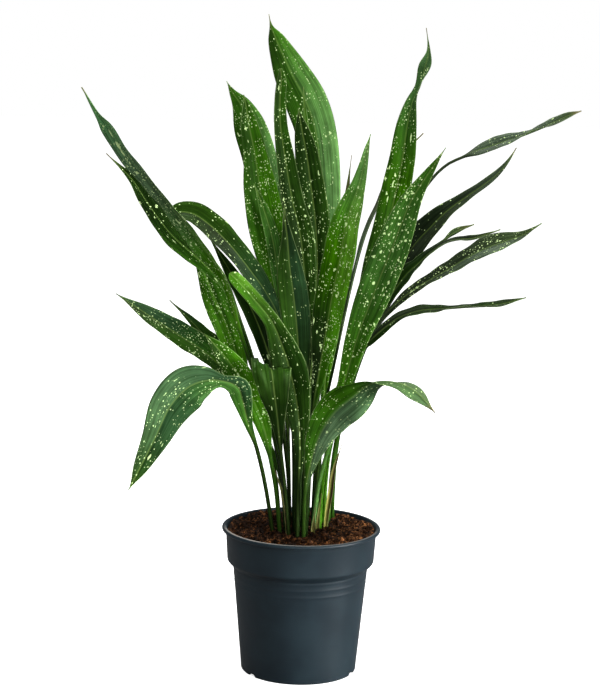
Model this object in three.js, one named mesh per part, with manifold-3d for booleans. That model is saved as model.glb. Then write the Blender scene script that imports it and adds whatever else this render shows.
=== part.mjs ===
// Potted cast iron plant: speckled strap leaves on long stalks, standing in peat in a nursery pot.
// Millimetres, +Z up. The origin is the centre of the pot's underside, on the surface it stands on.
// -Y is the front, the side of the plant with the wavy leaf and the low arching leaves.

import * as THREE from "three";
import Module from "manifold-3d";
import { mergeVertices } from "three/addons/utils/BufferGeometryUtils.js";

const wasm = await Module();
wasm.setup();

// Pot
const POT_HEIGHT = 156;
const SIDES = 40;
const WALL = 1.3;
const RIM_RADIUS = 84.5;
const RIM_BEAD = 4.2;
const RIM_BEVEL = 1.2;
const RIM_TOP_WIDTH = 3;
const COLLAR_TOP_RADIUS = 80.3;
const COLLAR_LOW_RADIUS = 78.3;
const COLLAR_LOW = 120.5;
const SHOULDER_RADIUS = 72.5;
const SHOULDER_LOW = 114;
const SHOULDER_STEP = 0.6;
const BODY_TOP_RADIUS = 71.4;
const BODY_LOW_RADIUS = 61.9;
const BODY_LOW = 4;
const STACKING_RIBS = [96.5, 104, 111.2];
const RIB_PROUD = 0.5;
const RIB_HALF_HEIGHT = 1.6;
const FOOT_RADIUS = 61;
const FOOT_WIDTH = 2.6;
const FOOT_CHAMFER = 0.7;
const FLOOR_THICKNESS = 1.6;
const CHANNEL_RADIUS = 28;
const CHANNEL_HEIGHT = 4;
const DRAIN_HOLES = 6;
const DRAIN_RADIUS = 4;
const DRAIN_CIRCLE = 45;
const DRAIN_SIDES = 12;
const CUT_LENGTH = 12;
const NOTCH_ANGLES = [-53, 67, 187];
const NOTCH_WIDTH = 10;
const NOTCH_HEIGHT = 3;

// Soil
const GAP = 0.3;
const STALK_GAP = 0.7;
const SOIL_LEVEL = 148.5;
const SOIL_RINGS = 6;
const SOIL_ROUGHNESS = 1.6;
const SOIL_EDGE_RISE = 4.5;
const SOIL_CORNER = 2.5;

// Leaves
const STALK_RADIUS = 2.2;
const STALK_FLATTENING = 1.74;
const KEEL = 1.1;
const FOOT_DEPTH = 123;
const HOLE_BELOW = 1.5;
const HOLE_LENGTH = 45;
const HOLE_SIDES = 8;
const BLADE_HALF_THICKNESS = 0.4;
const STATIONS_BLADE = 16;
const RIB_SAMPLES = 240;
const OPENING = 0.3;
const WAVES = 3.2;
const WAVE_SHIFT = 0.17;
const WAVE_LAG = 2.2;
const TIP_WIDTH = 0.8;

// Sheaths
const SHEATH_FOLD = 35;
const SHEATH_FOOT = 1.6;
const SHEATH_HOLE = 4;

// Each leaf: its foot [x, y] in the soil, then the points of its midrib up to the tip. The blade's full
// widths belong to the last of these points, and the points before them are the stalk. The fold lifts
// the blade's two halves, and the turns are those of its face from the blade's base to its tip, in
// degrees: 0 faces the front and 90 faces right. A leaf that bends back keeps its width level instead.
const LEAVES = [
  {
    name: "leaf_left_high", foot: [-12, -4],
    rib: [[-22, -2, 217], [-43, -2, 292], [-60, -3, 340], [-72, -8, 377], [-86, -18, 422],
      [-117, -32, 468], [-155, -48, 517], [-185, -57, 553], [-200, -62, 577], [-212, -65, 591],
      [-228, -68, 616]],
    widths: [6, 13, 25, 22, 22, 22, 8, 0], fold: 20, turns: [-30, -45, -50, -40], wave: 1,
  },
  {
    name: "leaf_left_high_under", foot: [-13, 4],
    rib: [[-24, 5, 216], [-42, 6, 292], [-66, 4, 366], [-84, -4, 410], [-108, -9, 436],
      [-140, -16, 465], [-163, -21, 495], [-180, -24, 521], [-194, -26, 536], [-207, -28, 549]],
    widths: [10, 24, 30, 24, 12, 4, 0], fold: 20, turns: [35, 35], wave: 1,
  },
  {
    name: "leaf_left_bright", foot: [-14, 12],
    rib: [[-23, 12, 203], [-42, 13, 258], [-64, 14, 311], [-80, 15, 358], [-96, 13, 396],
      [-110, 11, 430], [-122, 10, 456]],
    widths: [14, 28, 28, 14, 0], fold: 12, turns: [10, 15, 10], wave: 1,
  },
  {
    name: "leaf_left_low_arch", foot: [-26, -3],
    rib: [[-38, -8, 196], [-48, -20, 242], [-57, -36, 272], [-63, -50, 300], [-68, -60, 316],
      [-84, -66, 323], [-101, -73, 324], [-119, -80, 317], [-136, -87, 298], [-149, -93, 269],
      [-164, -98, 238], [-175, -102, 215]],
    widths: [9, 20, 24, 14, 32, 46, 43, 30, 16, 0], fold: 10, turns: [10, 0, 0, -10, -20], wave: 0.8,
  },
  {
    name: "leaf_front_wavy", foot: [-10, -15], bends: "back",
    rib: [[-18, -18, 199], [-23, -25, 239], [-27, -34, 278], [-31, -41, 308], [-35, -38, 331],
      [-39, -27, 325], [-42, -22, 297]],
    widths: [16, 32, 43, 38, 0], fold: 2, turns: [0, 0, 10, 25, 25], wave: 1.5,
  },
  {
    name: "leaf_left_short", foot: [-20, -9],
    rib: [[-27, -10, 192], [-34, -11, 230], [-43, -12, 269], [-57, -14, 301], [-74, -18, 328],
      [-92, -22, 351], [-105, -25, 365]],
    widths: [18, 26, 26, 14, 0], fold: 10, turns: [15, 15, 10], wave: 1,
  },
  {
    name: "leaf_left_pointed", foot: [-21, 15],
    rib: [[-27, 16, 191], [-35, 18, 234], [-51, 20, 275], [-76, 22, 308], [-105, 23, 336],
      [-133, 24, 354], [-165, 25, 374], [-202, 26, 398]],
    widths: [14, 28, 29, 21, 0], fold: 20, turns: [30, 35, 30], wave: 1,
  },
  {
    name: "leaf_left_dark", foot: [-21, 24],
    rib: [[-28, 25, 189], [-35, 26, 232], [-49, 30, 270], [-71, 34, 308], [-95, 38, 338],
      [-113, 40, 358], [-146, 42, 390]],
    widths: [10, 21, 15, 0], fold: 20, turns: [40, 40], wave: 1,
  },
  {
    name: "leaf_left_arch_back", foot: [-4, -3],
    rib: [[-7, -2, 247], [-16, 1, 323], [-27, 3, 375], [-43, 4, 406], [-60, 4, 429], [-76, 4, 449],
      [-91, 3, 465], [-106, 2, 478], [-121, 0, 487], [-137, -2, 487], [-149, -4, 474]],
    widths: [10, 19, 24, 26, 29, 28, 26, 19, 0], fold: 15, turns: [30, 30, 30, 40], wave: 1,
  },
  {
    name: "leaf_front_curl", foot: [-4, -21],
    rib: [[-4, -20, 199], [-3, -19, 243], [-6, -18, 284], [-14, -18, 322], [-22, -20, 348],
      [-35, -25, 379], [-53, -30, 402], [-68, -34, 419], [-79, -36, 430]],
    widths: [12, 26, 38, 32, 18, 16, 15, 9], fold: 12, turns: [0, 0, 0, 10], wave: 1.2,
  },
  {
    name: "leaf_left_inner", foot: [-13, 28],
    rib: [[-14, 27, 188], [-20, 26, 244], [-28, 27, 298], [-42, 27, 345], [-59, 26, 386],
      [-80, 24, 422], [-104, 21, 461]],
    widths: [10, 20, 21, 15, 0], fold: 12, turns: [20, 20], wave: 1,
  },
  {
    name: "leaf_tall_left_rear", foot: [-6, 22],
    rib: [[-11, 24, 266], [-23, 26, 363], [-34, 28, 448], [-44, 31, 500], [-52, 34, 542],
      [-63, 38, 575], [-72, 41, 597], [-82, 43, 611], [-89, 45, 623]],
    widths: [10, 27, 37, 37, 35, 22, 8, 0], fold: 12, turns: [0, 0], wave: 1,
  },
  {
    name: "leaf_tall_left_front", foot: [-7, 14],
    rib: [[-11, 14, 258], [-22, 15, 343], [-32, 16, 417], [-43, 17, 470], [-51, 18, 512],
      [-57, 20, 548], [-64, 22, 579], [-67, 23, 597], [-70, 24, 610]],
    widths: [8, 29, 40, 37, 26, 19, 9, 0], fold: 12, turns: [10, 10], wave: 1,
  },
  {
    name: "leaf_young_left", foot: [-6, 6],
    rib: [[-10, 8, 248], [-18, 10, 323], [-26, 11, 387], [-32, 11, 434], [-38, 7, 466],
      [-47, 6, 494], [-57, 5, 519]],
    widths: [8, 15, 15, 10, 0], fold: 12, turns: [10, 10], wave: 0.5,
  },
  {
    name: "leaf_centre_shaded", foot: [-4, -12],
    rib: [[-2, -11, 230], [-3, -11, 295], [-8, -9, 358], [-13, -8, 401], [-18, -6, 434],
      [-21, -4, 463], [-24, -3, 484], [-25, -2, 498]],
    widths: [12, 28, 32, 27, 13, 5, 0], fold: 10, turns: [0, 0], wave: 1,
  },
  {
    name: "leaf_centre_tall", foot: [3, -2],
    rib: [[1, -1, 261], [1, 0, 351], [-1, 2, 409], [-7, 4, 462], [-17, 6, 503], [-25, 9, 544],
      [-31, 13, 580], [-32, 17, 608], [-31, 19, 626], [-32, 20, 638]],
    widths: [8, 21, 29, 24, 20, 15, 12.5, 10.5, 3], fold: 15, turns: [10, 10], wave: 1,
  },
  {
    name: "leaf_centre_dark", foot: [1, 5],
    rib: [[4, 6, 248], [8, 9, 345], [11, 13, 424], [8, 16, 477], [2, 20, 518], [-3, 24, 549],
      [-8, 27, 572], [-11, 29, 587], [-13, 30, 597]],
    widths: [10, 27, 31, 29, 25, 17, 7, 0], fold: 10, turns: [0, 0], wave: 1,
  },
  {
    name: "leaf_tallest", foot: [1, 13],
    rib: [[4, 17, 247], [9, 23, 343], [14, 31, 427], [15, 40, 485], [12, 48, 532], [6, 56, 572],
      [-5, 64, 603], [-20, 72, 630], [-31, 79, 652], [-39, 84, 669], [-44, 88, 681], [-47, 92, 694]],
    widths: [8, 27, 37, 42, 44, 45, 39, 28, 17, 4, 0], fold: 8, turns: [0, 0], wave: 1,
  },
  {
    name: "leaf_young_centre", foot: [0, 22], stalk: 1.6,
    rib: [[0, 21, 267], [1, 21, 364], [8, 24, 449], [6, 31, 507], [-1, 38, 553], [-6, 42, 590],
      [-8, 45, 619]],
    widths: [7, 8, 7, 5, 0], fold: 10, turns: [20, 20], wave: 0,
  },
  {
    name: "leaf_right_of_centre", foot: [4, -10],
    rib: [[9, -13, 269], [15, -16, 322], [21, -18, 366], [27, -21, 408], [34, -25, 447],
      [39, -29, 482], [46, -31, 506], [51, -33, 523], [55, -35, 541], [58, -37, 559], [61, -38, 575]],
    widths: [15, 30, 36, 36, 32, 25, 17, 11, 6, 0], fold: 15, turns: [-20, -20], wave: 1,
  },
  {
    name: "leaf_dry_tipped", foot: [4, 33],
    rib: [[10, 38, 242], [21, 46, 339], [32, 55, 414], [40, 63, 473], [42, 68, 515], [45, 72, 547]],
    widths: [8, 16, 14, 4, 0], fold: 8, turns: [0, 0], wave: 0.5,
  },
  {
    name: "leaf_edge_on", foot: [11, 25], stalk: 1.6,
    rib: [[15, 26, 234], [32, 29, 331], [46, 33, 406], [59, 38, 460], [73, 44, 496], [87, 50, 531],
      [100, 55, 552], [120, 60, 573]],
    widths: [8, 11, 12, 10, 6, 0], fold: 8, turns: [-75, -75], wave: 0.5,
  },
  {
    name: "leaf_right_tall", foot: [10, 16],
    rib: [[20, 17, 241], [38, 21, 311], [55, 26, 374], [73, 31, 434], [85, 36, 477], [92, 39, 511],
      [98, 42, 545], [102, 46, 578], [107, 49, 604], [114, 52, 622], [120, 55, 643], [123, 58, 660],
      [120, 62, 683]],
    widths: [12, 28, 31, 32, 29, 24, 17, 16, 15, 4, 0], fold: 14,
    turns: [-10, -10, -10, -10, -10, -10, -10, -10, -10, -28, -75, -15, -10], wave: 1,
  },
  {
    name: "leaf_right_front", foot: [10, 7],
    rib: [[17, 3, 197], [29, -7, 252], [39, -18, 302], [48, -27, 343], [56, -34, 374],
      [66, -41, 404], [76, -48, 434], [85, -53, 459], [93, -58, 483], [101, -63, 506],
      [110, -67, 524], [121, -71, 542], [135, -75, 565]],
    widths: [12, 21, 27, 34, 37, 36, 31, 24, 16, 9, 0], fold: 10, turns: [-10, -10], wave: 1,
  },
  {
    name: "leaf_right_upper", foot: [23, 47], stalk: 1.6,
    rib: [[26, 52, 195], [33, 60, 249], [46, 66, 303], [62, 72, 364], [81, 76, 425], [108, 78, 484],
      [130, 78, 520], [147, 78, 538], [164, 77, 547], [180, 75, 554], [198, 74, 561], [219, 72, 569],
      [238, 70, 577], [258, 68, 586], [274, 67, 594], [288, 66, 600]],
    widths: [16, 22, 18, 14, 14, 9, 0], fold: 12, turns: [-60, -55, -60, -85, -55, -40], wave: 0.5,
  },
  {
    name: "leaf_right_dark", foot: [34, 54],
    rib: [[34, 54, 183], [37, 54, 234], [46, 55, 284], [61, 57, 338], [76, 58, 374], [95, 60, 415],
      [112, 61, 449], [131, 60, 472], [148, 59, 490], [167, 58, 505], [186, 57, 519], [200, 56, 531],
      [211, 55, 545], [219, 54, 560]],
    widths: [18, 32, 37, 31, 20, 14, 12, 9, 4, 0], fold: 15, turns: [-40, -40], wave: 1,
  },
  {
    name: "leaf_young_right", foot: [29, 46], stalk: 1.2,
    rib: [[31, 46, 190], [38, 46, 246], [49, 46, 298], [67, 46, 351], [89, 46, 403], [113, 43, 438],
      [142, 42, 459], [157, 42, 470], [176, 40, 479]],
    widths: [9, 0], fold: 10, turns: [-50, -50], wave: 0,
  },
  {
    name: "leaf_right_thin", foot: [28, 37],
    rib: [[31, 37, 197], [36, 37, 243], [46, 37, 285], [61, 39, 335], [79, 39, 378], [94, 38, 406],
      [106, 36, 424], [118, 34, 436], [131, 33, 449], [145, 32, 459], [158, 31, 463], [176, 22, 466],
      [202, 20, 476]],
    widths: [17, 25, 19, 12, 10, 10, 7, 0], fold: 12, turns: [-50, -55, -60, -80, -55, -50], wave: 1,
  },
  {
    name: "leaf_right_speckled", foot: [24, 28],
    rib: [[25, 28, 189], [29, 28, 234], [40, 28, 283], [55, 27, 332], [77, 25, 371], [94, 23, 392],
      [111, 20, 408], [131, 17, 422], [150, 14, 434], [171, 11, 448], [190, 8, 458], [208, 8, 465],
      [225, 6, 472], [243, 4, 485]],
    widths: [9, 14, 16, 18, 24, 29, 21, 10, 0], fold: 14, turns: [-50, -50], wave: 1,
  },
  {
    name: "leaf_right_low", foot: [19, 19],
    rib: [[22, 17, 203], [29, 15, 253], [43, 16, 299], [61, 16, 343], [70, 15, 355], [84, 14, 369],
      [99, 12, 381], [120, 9, 389], [141, 6, 392], [163, 3, 395], [184, 0, 397], [205, -3, 400],
      [229, -6, 408]],
    widths: [10, 15, 16, 14, 12, 10, 10, 11, 0], fold: 14,
    turns: [-50, -55, -60, -60, -85, -60, -50], wave: 1,
  },
  {
    name: "leaf_right_low_arch", foot: [3, -19],
    rib: [[3, -24, 190], [7, -32, 224], [15, -44, 259], [29, -58, 288], [48, -70, 309],
      [68, -79, 326], [94, -86, 328], [114, -90, 319], [132, -92, 300]],
    widths: [10, 27, 40, 41, 28, 21, 18, 0], fold: 12, turns: [0, 0, 0, 0, 0, 20, 80, 140, 150],
    wave: 1.5,
  },
  {
    name: "leaf_back_arch", foot: [-2, 31], bends: "back",
    rib: [[-2, 60, 227], [0, 85, 317], [2, 120, 397], [4, 160, 452], [6, 205, 475], [8, 245, 467],
      [10, 275, 442]],
    widths: [12, 32, 42, 38, 22, 0], fold: 12, turns: [0, 0], wave: 1,
  },
  {
    name: "leaf_back_left", foot: [-12, 36], bends: "back",
    rib: [[-16, 62, 227], [-22, 92, 317], [-30, 125, 387], [-36, 160, 432], [-40, 200, 452],
      [-43, 235, 447]],
    widths: [12, 30, 36, 24, 0], fold: 12, turns: [0, 0], wave: 1,
  },
  {
    name: "leaf_back_right", foot: [16, 40], bends: "back",
    rib: [[19, 66, 227], [24, 96, 309], [30, 130, 379], [35, 165, 425], [38, 205, 445],
      [40, 245, 439]],
    widths: [12, 30, 36, 24, 0], fold: 12, turns: [0, 0], wave: 1,
  },
  {
    name: "leaf_back_low", foot: [6, 44], bends: "back",
    rib: [[8, 75, 212], [8, 110, 277], [6, 150, 312], [4, 190, 317], [2, 230, 297], [0, 262, 259]],
    widths: [14, 32, 38, 26, 0], fold: 12, turns: [0, 0], wave: 1,
  },
  {
    name: "leaf_back_tall", foot: [-8, 44], bends: "back",
    rib: [[-10, 66, 247], [-12, 84, 347], [-10, 102, 437], [-6, 122, 507], [0, 142, 567]],
    widths: [14, 34, 28, 0], fold: 12, turns: [0, 0], wave: 1,
  },
];

// Dry sheaths that stand round the stalks' feet: narrow pointed strips, folded round the stalk behind.
const SHEATHS = [
  { name: "sheath_brown", foot: [-14, -9.5], rib: [[-16, -9, 162], [-21, -9, 193], [-30, -9, 220]],
    widths: [5, 4, 0], turns: [20, 20] },
  { name: "sheath_yellow", foot: [13, 0], rib: [[13, 0, 152], [15, 0, 177]],
    widths: [5, 0], turns: [-10, -10] },
  { name: "sheath_pink", foot: [17, 12], rib: [[18, 12, 157], [21, 11, 189]],
    widths: [5, 0], turns: [-10, -10] },
  { name: "sheath_papery", foot: [26, 20],
    rib: [[27, 20, 157], [31, 20, 190], [34, 20, 214], [42, 20, 243]],
    widths: [6, 7, 5, 0], turns: [-10, -10] },
];

const UP = new THREE.Vector3(0, 0, 1);
const FRONT = new THREE.Vector3(0, -1, 0);
const RIGHT = new THREE.Vector3(1, 0, 0);

function mix(a, b, share) {
  return a + (b - a) * share;
}

function ease(from, to, value) {
  const share = THREE.MathUtils.clamp((value - from) / (to - from), 0, 1);
  return share * share * (3 - 2 * share);
}

// A value on the smooth curve through a list's entries, at a place counted in entries from 0.
function along(list, place) {
  const last = list.length - 1;
  const step = THREE.MathUtils.clamp(Math.floor(place), 0, last - 1);
  const share = THREE.MathUtils.clamp(place - step, 0, 1);
  const before = list[Math.max(step - 1, 0)];
  const after = list[Math.min(step + 2, last)];
  const rise = 0.5 * (list[step + 1] - before);
  const leave = 0.5 * (after - list[step]);
  const jump = list[step + 1] - list[step];
  return list[step] + share * (rise + share * (3 * jump - 2 * rise - leave
    + share * (rise + leave - 2 * jump)));
}

// The leaf's own directions at a share of its midrib: across the blade and out of its upper face.
function ribFrame(curve, leaf, share, turn) {
  const point = curve.getPointAt(share);
  const ahead = curve.getTangentAt(share);
  const across = new THREE.Vector3();
  const face = new THREE.Vector3();
  if (leaf.bends === "back") {
    across.copy(RIGHT).addScaledVector(ahead, -RIGHT.dot(ahead)).normalize();
    face.crossVectors(across, ahead);
  } else {
    face.copy(FRONT).addScaledVector(ahead, -FRONT.dot(ahead)).normalize();
    across.crossVectors(ahead, face);
  }
  const angle = THREE.MathUtils.degToRad(turn);
  face.applyAxisAngle(ahead, angle);
  across.applyAxisAngle(ahead, angle);
  return { point, across, face };
}

// The six corners of a leaf's section, across and up: a hexagonal stalk that opens into two thin
// halves, folded along the midrib, with waved margins.
function section(leaf, width, blade, side) {
  const stalk = leaf.stalk ?? STALK_RADIUS;
  const open = ease(0, OPENING, blade);
  const rim = mix(0.5 * stalk, BLADE_HALF_THICKNESS, open);
  const crown = mix(stalk, BLADE_HALF_THICKNESS, open);
  const keel = mix(stalk, mix(KEEL, BLADE_HALF_THICKNESS, blade), open);
  const fold = THREE.MathUtils.degToRad(leaf.fold) * open;
  const reach = 0.5 * width * Math.cos(fold);
  const rise = 0.5 * width * Math.sin(fold);
  const waves = 2 * Math.PI * (WAVES * blade + WAVE_SHIFT * side);
  const wave = leaf.wave * open * Math.sin(Math.PI * blade);
  const left = rise + wave * Math.sin(waves);
  const right = rise + wave * Math.sin(waves + WAVE_LAG);
  return [
    [-reach, left + rim], [0, crown], [reach, right + rim],
    [reach, right - rim], [0, -keel], [-reach, left - rim],
  ];
}

// A closed solid from rings of points that all have the same count, its first and last ring flat ends.
function loft(rings) {
  const count = rings[0].length;
  const positions = rings.flat().flatMap((point) => point.toArray());
  const faces = [];
  for (let ring = 0; ring < rings.length - 1; ring += 1) {
    for (let i = 0; i < count; i += 1) {
      const a = ring * count + i;
      const b = ring * count + ((i + 1) % count);
      faces.push(a, b, b + count, a, b + count, a + count);
    }
  }
  const last = (rings.length - 1) * count;
  for (let i = 1; i < count - 1; i += 1) {
    faces.push(0, i + 1, i);
    faces.push(last, last + i, last + i + 1);
  }
  const geometry = new THREE.BufferGeometry();
  geometry.setAttribute("position", new THREE.Float32BufferAttribute(positions, 3));
  geometry.setIndex(faces);
  return geometry;
}

function leafCurve(leaf) {
  const points = [[...leaf.foot, FOOT_DEPTH], ...leaf.rib].map((p) => new THREE.Vector3(...p));
  const curve = new THREE.CatmullRomCurve3(points, false, "catmullrom", 0.5);
  curve.arcLengthDivisions = RIB_SAMPLES;
  return curve;
}

function leafGeometry(leaf, side) {
  const curve = leafCurve(leaf);
  const last = leaf.rib.length;
  const stalkEnd = last - leaf.widths.length;
  const stalkWidth = STALK_FLATTENING * (leaf.stalk ?? STALK_RADIUS);
  const widths = [...Array(stalkEnd + 1).fill(stalkWidth), ...leaf.widths];
  const lengths = curve.getLengths(RIB_SAMPLES);
  const shareAt = (place) => lengths[Math.round(RIB_SAMPLES * place / last)] / lengths[RIB_SAMPLES];
  const bladeStart = shareAt(stalkEnd);
  const stations = [];
  for (let i = 0; i < stalkEnd; i += 1) {
    stations.push(shareAt(i));
  }
  for (let i = 0; i <= STATIONS_BLADE; i += 1) {
    stations.push(mix(bladeStart, 1, i / STATIONS_BLADE));
  }
  const rings = stations.map((share) => {
    const blade = Math.max(0, (share - bladeStart) / (1 - bladeStart));
    const width = Math.max(TIP_WIDTH, along(widths, last * curve.getUtoTmapping(share)));
    const turn = along(leaf.turns, blade * (leaf.turns.length - 1));
    const { point, across, face } = ribFrame(curve, leaf, share, turn);
    return section(leaf, width, blade, side).map(([x, y]) =>
      point.clone().addScaledVector(across, x).addScaledVector(face, y));
  });
  return loft(rings);
}

function sheathLeaf(sheath) {
  return { ...sheath, fold: SHEATH_FOLD, stalk: SHEATH_FOOT, wave: 0 };
}

// The prism that a stalk's foot takes out of the soil, with the gap all round.
function footHole(leaf, radius) {
  const curve = leafCurve(leaf);
  const length = curve.getLength();
  const rings = [-HOLE_BELOW, HOLE_LENGTH].map((distance) => {
    const share = THREE.MathUtils.clamp(distance / length, 0, 1);
    const { point, across, face } = ribFrame(curve, leaf, share, leaf.turns[0]);
    const sink = Math.min(0, distance);
    const ring = [];
    for (let i = 0; i < HOLE_SIDES; i += 1) {
      const angle = -2 * Math.PI * (i / HOLE_SIDES);
      ring.push(point.clone()
        .addScaledVector(across, radius * Math.cos(angle))
        .addScaledVector(face, radius * Math.sin(angle))
        .addScaledVector(UP, sink));
    }
    return ring;
  });
  return loft(rings);
}

function toManifold(geometry) {
  const bare = geometry.clone();
  bare.deleteAttribute("normal");
  bare.deleteAttribute("uv");
  const merged = mergeVertices(bare, 1e-4);
  return new wasm.Manifold(new wasm.Mesh({
    numProp: 3,
    vertProperties: new Float32Array(merged.attributes.position.array),
    triVerts: new Uint32Array(merged.index.array),
  }));
}

function fromManifold(solid) {
  const mesh = solid.getMesh();
  const geometry = new THREE.BufferGeometry();
  geometry.setAttribute("position", new THREE.Float32BufferAttribute(mesh.vertProperties, 3));
  geometry.setIndex(Array.from(mesh.triVerts));
  return geometry;
}

function bodyRadius(height) {
  return mix(BODY_LOW_RADIUS, BODY_TOP_RADIUS, (height - BODY_LOW) / (SHOULDER_LOW - 6 - BODY_LOW));
}

// The inner wall at a height, one wall thickness inside the outer one.
function innerRadius(height) {
  if (height < SHOULDER_LOW) {
    return bodyRadius(height) - WALL;
  }
  if (height < COLLAR_LOW) {
    const share = (height - SHOULDER_LOW) / (COLLAR_LOW - SHOULDER_LOW);
    return mix(bodyRadius(SHOULDER_LOW), COLLAR_LOW_RADIUS, share) - WALL;
  }
  const rise = (height - COLLAR_LOW) / (POT_HEIGHT - RIM_BEAD - COLLAR_LOW);
  return mix(COLLAR_LOW_RADIUS, COLLAR_TOP_RADIUS, rise) - WALL;
}

// Turns a profile of [radius, height] points about the Z axis.
function turned(profile) {
  const geometry = new THREE.LatheGeometry(profile.map((p) => new THREE.Vector2(...p)), SIDES);
  geometry.rotateX(Math.PI / 2);
  return geometry;
}

function potGeometry() {
  const beadLow = POT_HEIGHT - RIM_BEAD;
  const outer = [
    [0, 0], [CHANNEL_RADIUS, 0], [CHANNEL_RADIUS + CHANNEL_HEIGHT, CHANNEL_HEIGHT],
    [FOOT_RADIUS - FOOT_WIDTH, CHANNEL_HEIGHT], [FOOT_RADIUS - FOOT_WIDTH, 0],
    [FOOT_RADIUS, 0], [FOOT_RADIUS + FOOT_CHAMFER, FOOT_CHAMFER], [BODY_LOW_RADIUS, BODY_LOW],
  ];
  for (const rib of STACKING_RIBS) {
    outer.push([bodyRadius(rib - RIB_HALF_HEIGHT), rib - RIB_HALF_HEIGHT]);
    outer.push([bodyRadius(rib) + RIB_PROUD, rib]);
  }
  outer.push(
    [bodyRadius(SHOULDER_LOW - SHOULDER_STEP), SHOULDER_LOW - SHOULDER_STEP],
    [SHOULDER_RADIUS, SHOULDER_LOW],
    [COLLAR_LOW_RADIUS - 0.6, COLLAR_LOW - 1.6], [COLLAR_LOW_RADIUS, COLLAR_LOW],
    [COLLAR_TOP_RADIUS, beadLow], [RIM_RADIUS - RIM_BEVEL, beadLow], [RIM_RADIUS, beadLow + RIM_BEVEL],
    [RIM_RADIUS, POT_HEIGHT - RIM_BEVEL], [RIM_RADIUS - RIM_BEVEL, POT_HEIGHT],
    [RIM_RADIUS - RIM_BEVEL - RIM_TOP_WIDTH, POT_HEIGHT],
  );
  const floorTop = CHANNEL_HEIGHT + FLOOR_THICKNESS;
  const centre = CHANNEL_RADIUS - 0.5 * FLOOR_THICKNESS;
  const inner = [
    [innerRadius(beadLow), beadLow], [innerRadius(COLLAR_LOW), COLLAR_LOW],
    [innerRadius(SHOULDER_LOW), SHOULDER_LOW], [innerRadius(floorTop + 3), floorTop + 3],
    [innerRadius(floorTop) - SOIL_CORNER, floorTop],
    [centre + CHANNEL_HEIGHT, floorTop], [centre, FLOOR_THICKNESS], [0, FLOOR_THICKNESS],
  ];
  let pot = toManifold(turned([...outer, ...inner]));
  for (let i = 0; i < DRAIN_HOLES; i += 1) {
    const angle = 2 * Math.PI * (i / DRAIN_HOLES);
    const hole = new THREE.CylinderGeometry(DRAIN_RADIUS, DRAIN_RADIUS, CUT_LENGTH, DRAIN_SIDES);
    hole.rotateX(Math.PI / 2);
    hole.translate(DRAIN_CIRCLE * Math.cos(angle), DRAIN_CIRCLE * Math.sin(angle), CHANNEL_HEIGHT);
    pot = pot.subtract(toManifold(hole));
  }
  for (const degrees of NOTCH_ANGLES) {
    const notch = new THREE.BoxGeometry(NOTCH_WIDTH, CUT_LENGTH, 2 * NOTCH_HEIGHT);
    notch.translate(0, -FOOT_RADIUS, 0);
    notch.rotateZ(THREE.MathUtils.degToRad(degrees));
    pot = pot.subtract(toManifold(notch));
  }
  return fromManifold(pot);
}

// The soil's height at a place: gentle lumps, and a rise towards the pot's wall.
function soilHeight(x, y) {
  const lumps = Math.sin(0.13 * x + 1.3) * Math.cos(0.11 * y - 0.4) + 0.7 * Math.sin(0.31 * x + 0.23 * y);
  const rise = SOIL_EDGE_RISE * (x * x + y * y) / (COLLAR_TOP_RADIUS * COLLAR_TOP_RADIUS);
  return SOIL_LEVEL + rise + SOIL_ROUGHNESS * lumps;
}

function soilGeometry(holes) {
  const low = FLOOR_THICKNESS + GAP;
  const bottom = CHANNEL_HEIGHT + low;
  const centre = CHANNEL_RADIUS - FLOOR_THICKNESS;
  const rings = [
    soilRing(centre, () => low),
    soilRing(centre + CHANNEL_HEIGHT, () => bottom),
    soilRing(innerRadius(bottom) - GAP - SOIL_CORNER, () => bottom),
  ];
  for (const height of [bottom + 3, SHOULDER_LOW, COLLAR_LOW]) {
    rings.push(soilRing(innerRadius(height) - GAP, () => height));
  }
  for (let i = SOIL_RINGS; i > 0; i -= 1) {
    const share = i / SOIL_RINGS;
    const radius = (innerRadius(SOIL_LEVEL) - GAP - 0.5) * share;
    rings.push(soilRing(radius, soilHeight));
  }
  let soil = toManifold(loft(rings));
  for (const hole of holes) {
    soil = soil.subtract(toManifold(hole));
  }
  return fromManifold(soil);
}

function soilRing(radius, heightAt) {
  const ring = [];
  for (let i = 0; i < SIDES; i += 1) {
    const angle = 2 * Math.PI * (i / SIDES) + Math.PI / 2;
    const x = radius * Math.cos(angle);
    const y = radius * Math.sin(angle);
    ring.push(new THREE.Vector3(x, y, heightAt(x, y)));
  }
  return ring;
}

const plastic = new THREE.MeshStandardMaterial({ color: 0x36454d, roughness: 0.45, metalness: 0 });
const peat = new THREE.MeshStandardMaterial({ color: 0x4a2f24, roughness: 0.95, metalness: 0 });
const foliage = new THREE.MeshStandardMaterial({ color: 0x2f5a26, roughness: 0.4, metalness: 0 });
const husk = new THREE.MeshStandardMaterial({ color: 0xa08c62, roughness: 0.7, metalness: 0 });

const plant = new THREE.Group();

function addPiece(name, geometry, material) {
  const mesh = new THREE.Mesh(geometry, material);
  mesh.name = name;
  plant.add(mesh);
}

const sheaths = SHEATHS.map(sheathLeaf);
const holes = [
  ...LEAVES.map((leaf) => footHole(leaf, (leaf.stalk ?? STALK_RADIUS) + STALK_GAP)),
  ...sheaths.map((sheath) => footHole(sheath, SHEATH_HOLE)),
];

addPiece("pot", potGeometry(), plastic);
addPiece("soil", soilGeometry(holes), peat);
LEAVES.forEach((leaf, side) => addPiece(leaf.name, leafGeometry(leaf, side), foliage));
sheaths.forEach((sheath, side) => addPiece(sheath.name, leafGeometry(sheath, side), husk));

export default plant;
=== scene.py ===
"""Potted cast iron plant: long speckled strap leaves on upright stalks, in a slate-grey nursery pot.

The frame holds a plain solid for each leaf, each sheath, the peat and the pot. Here every one of them
gets a finer surface of the same form, worked out from the same lists, and a finish of its own. Sizes
are in millimetres where nothing else is said, angles in degrees, and meshes in metres.
"""

import math

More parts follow.
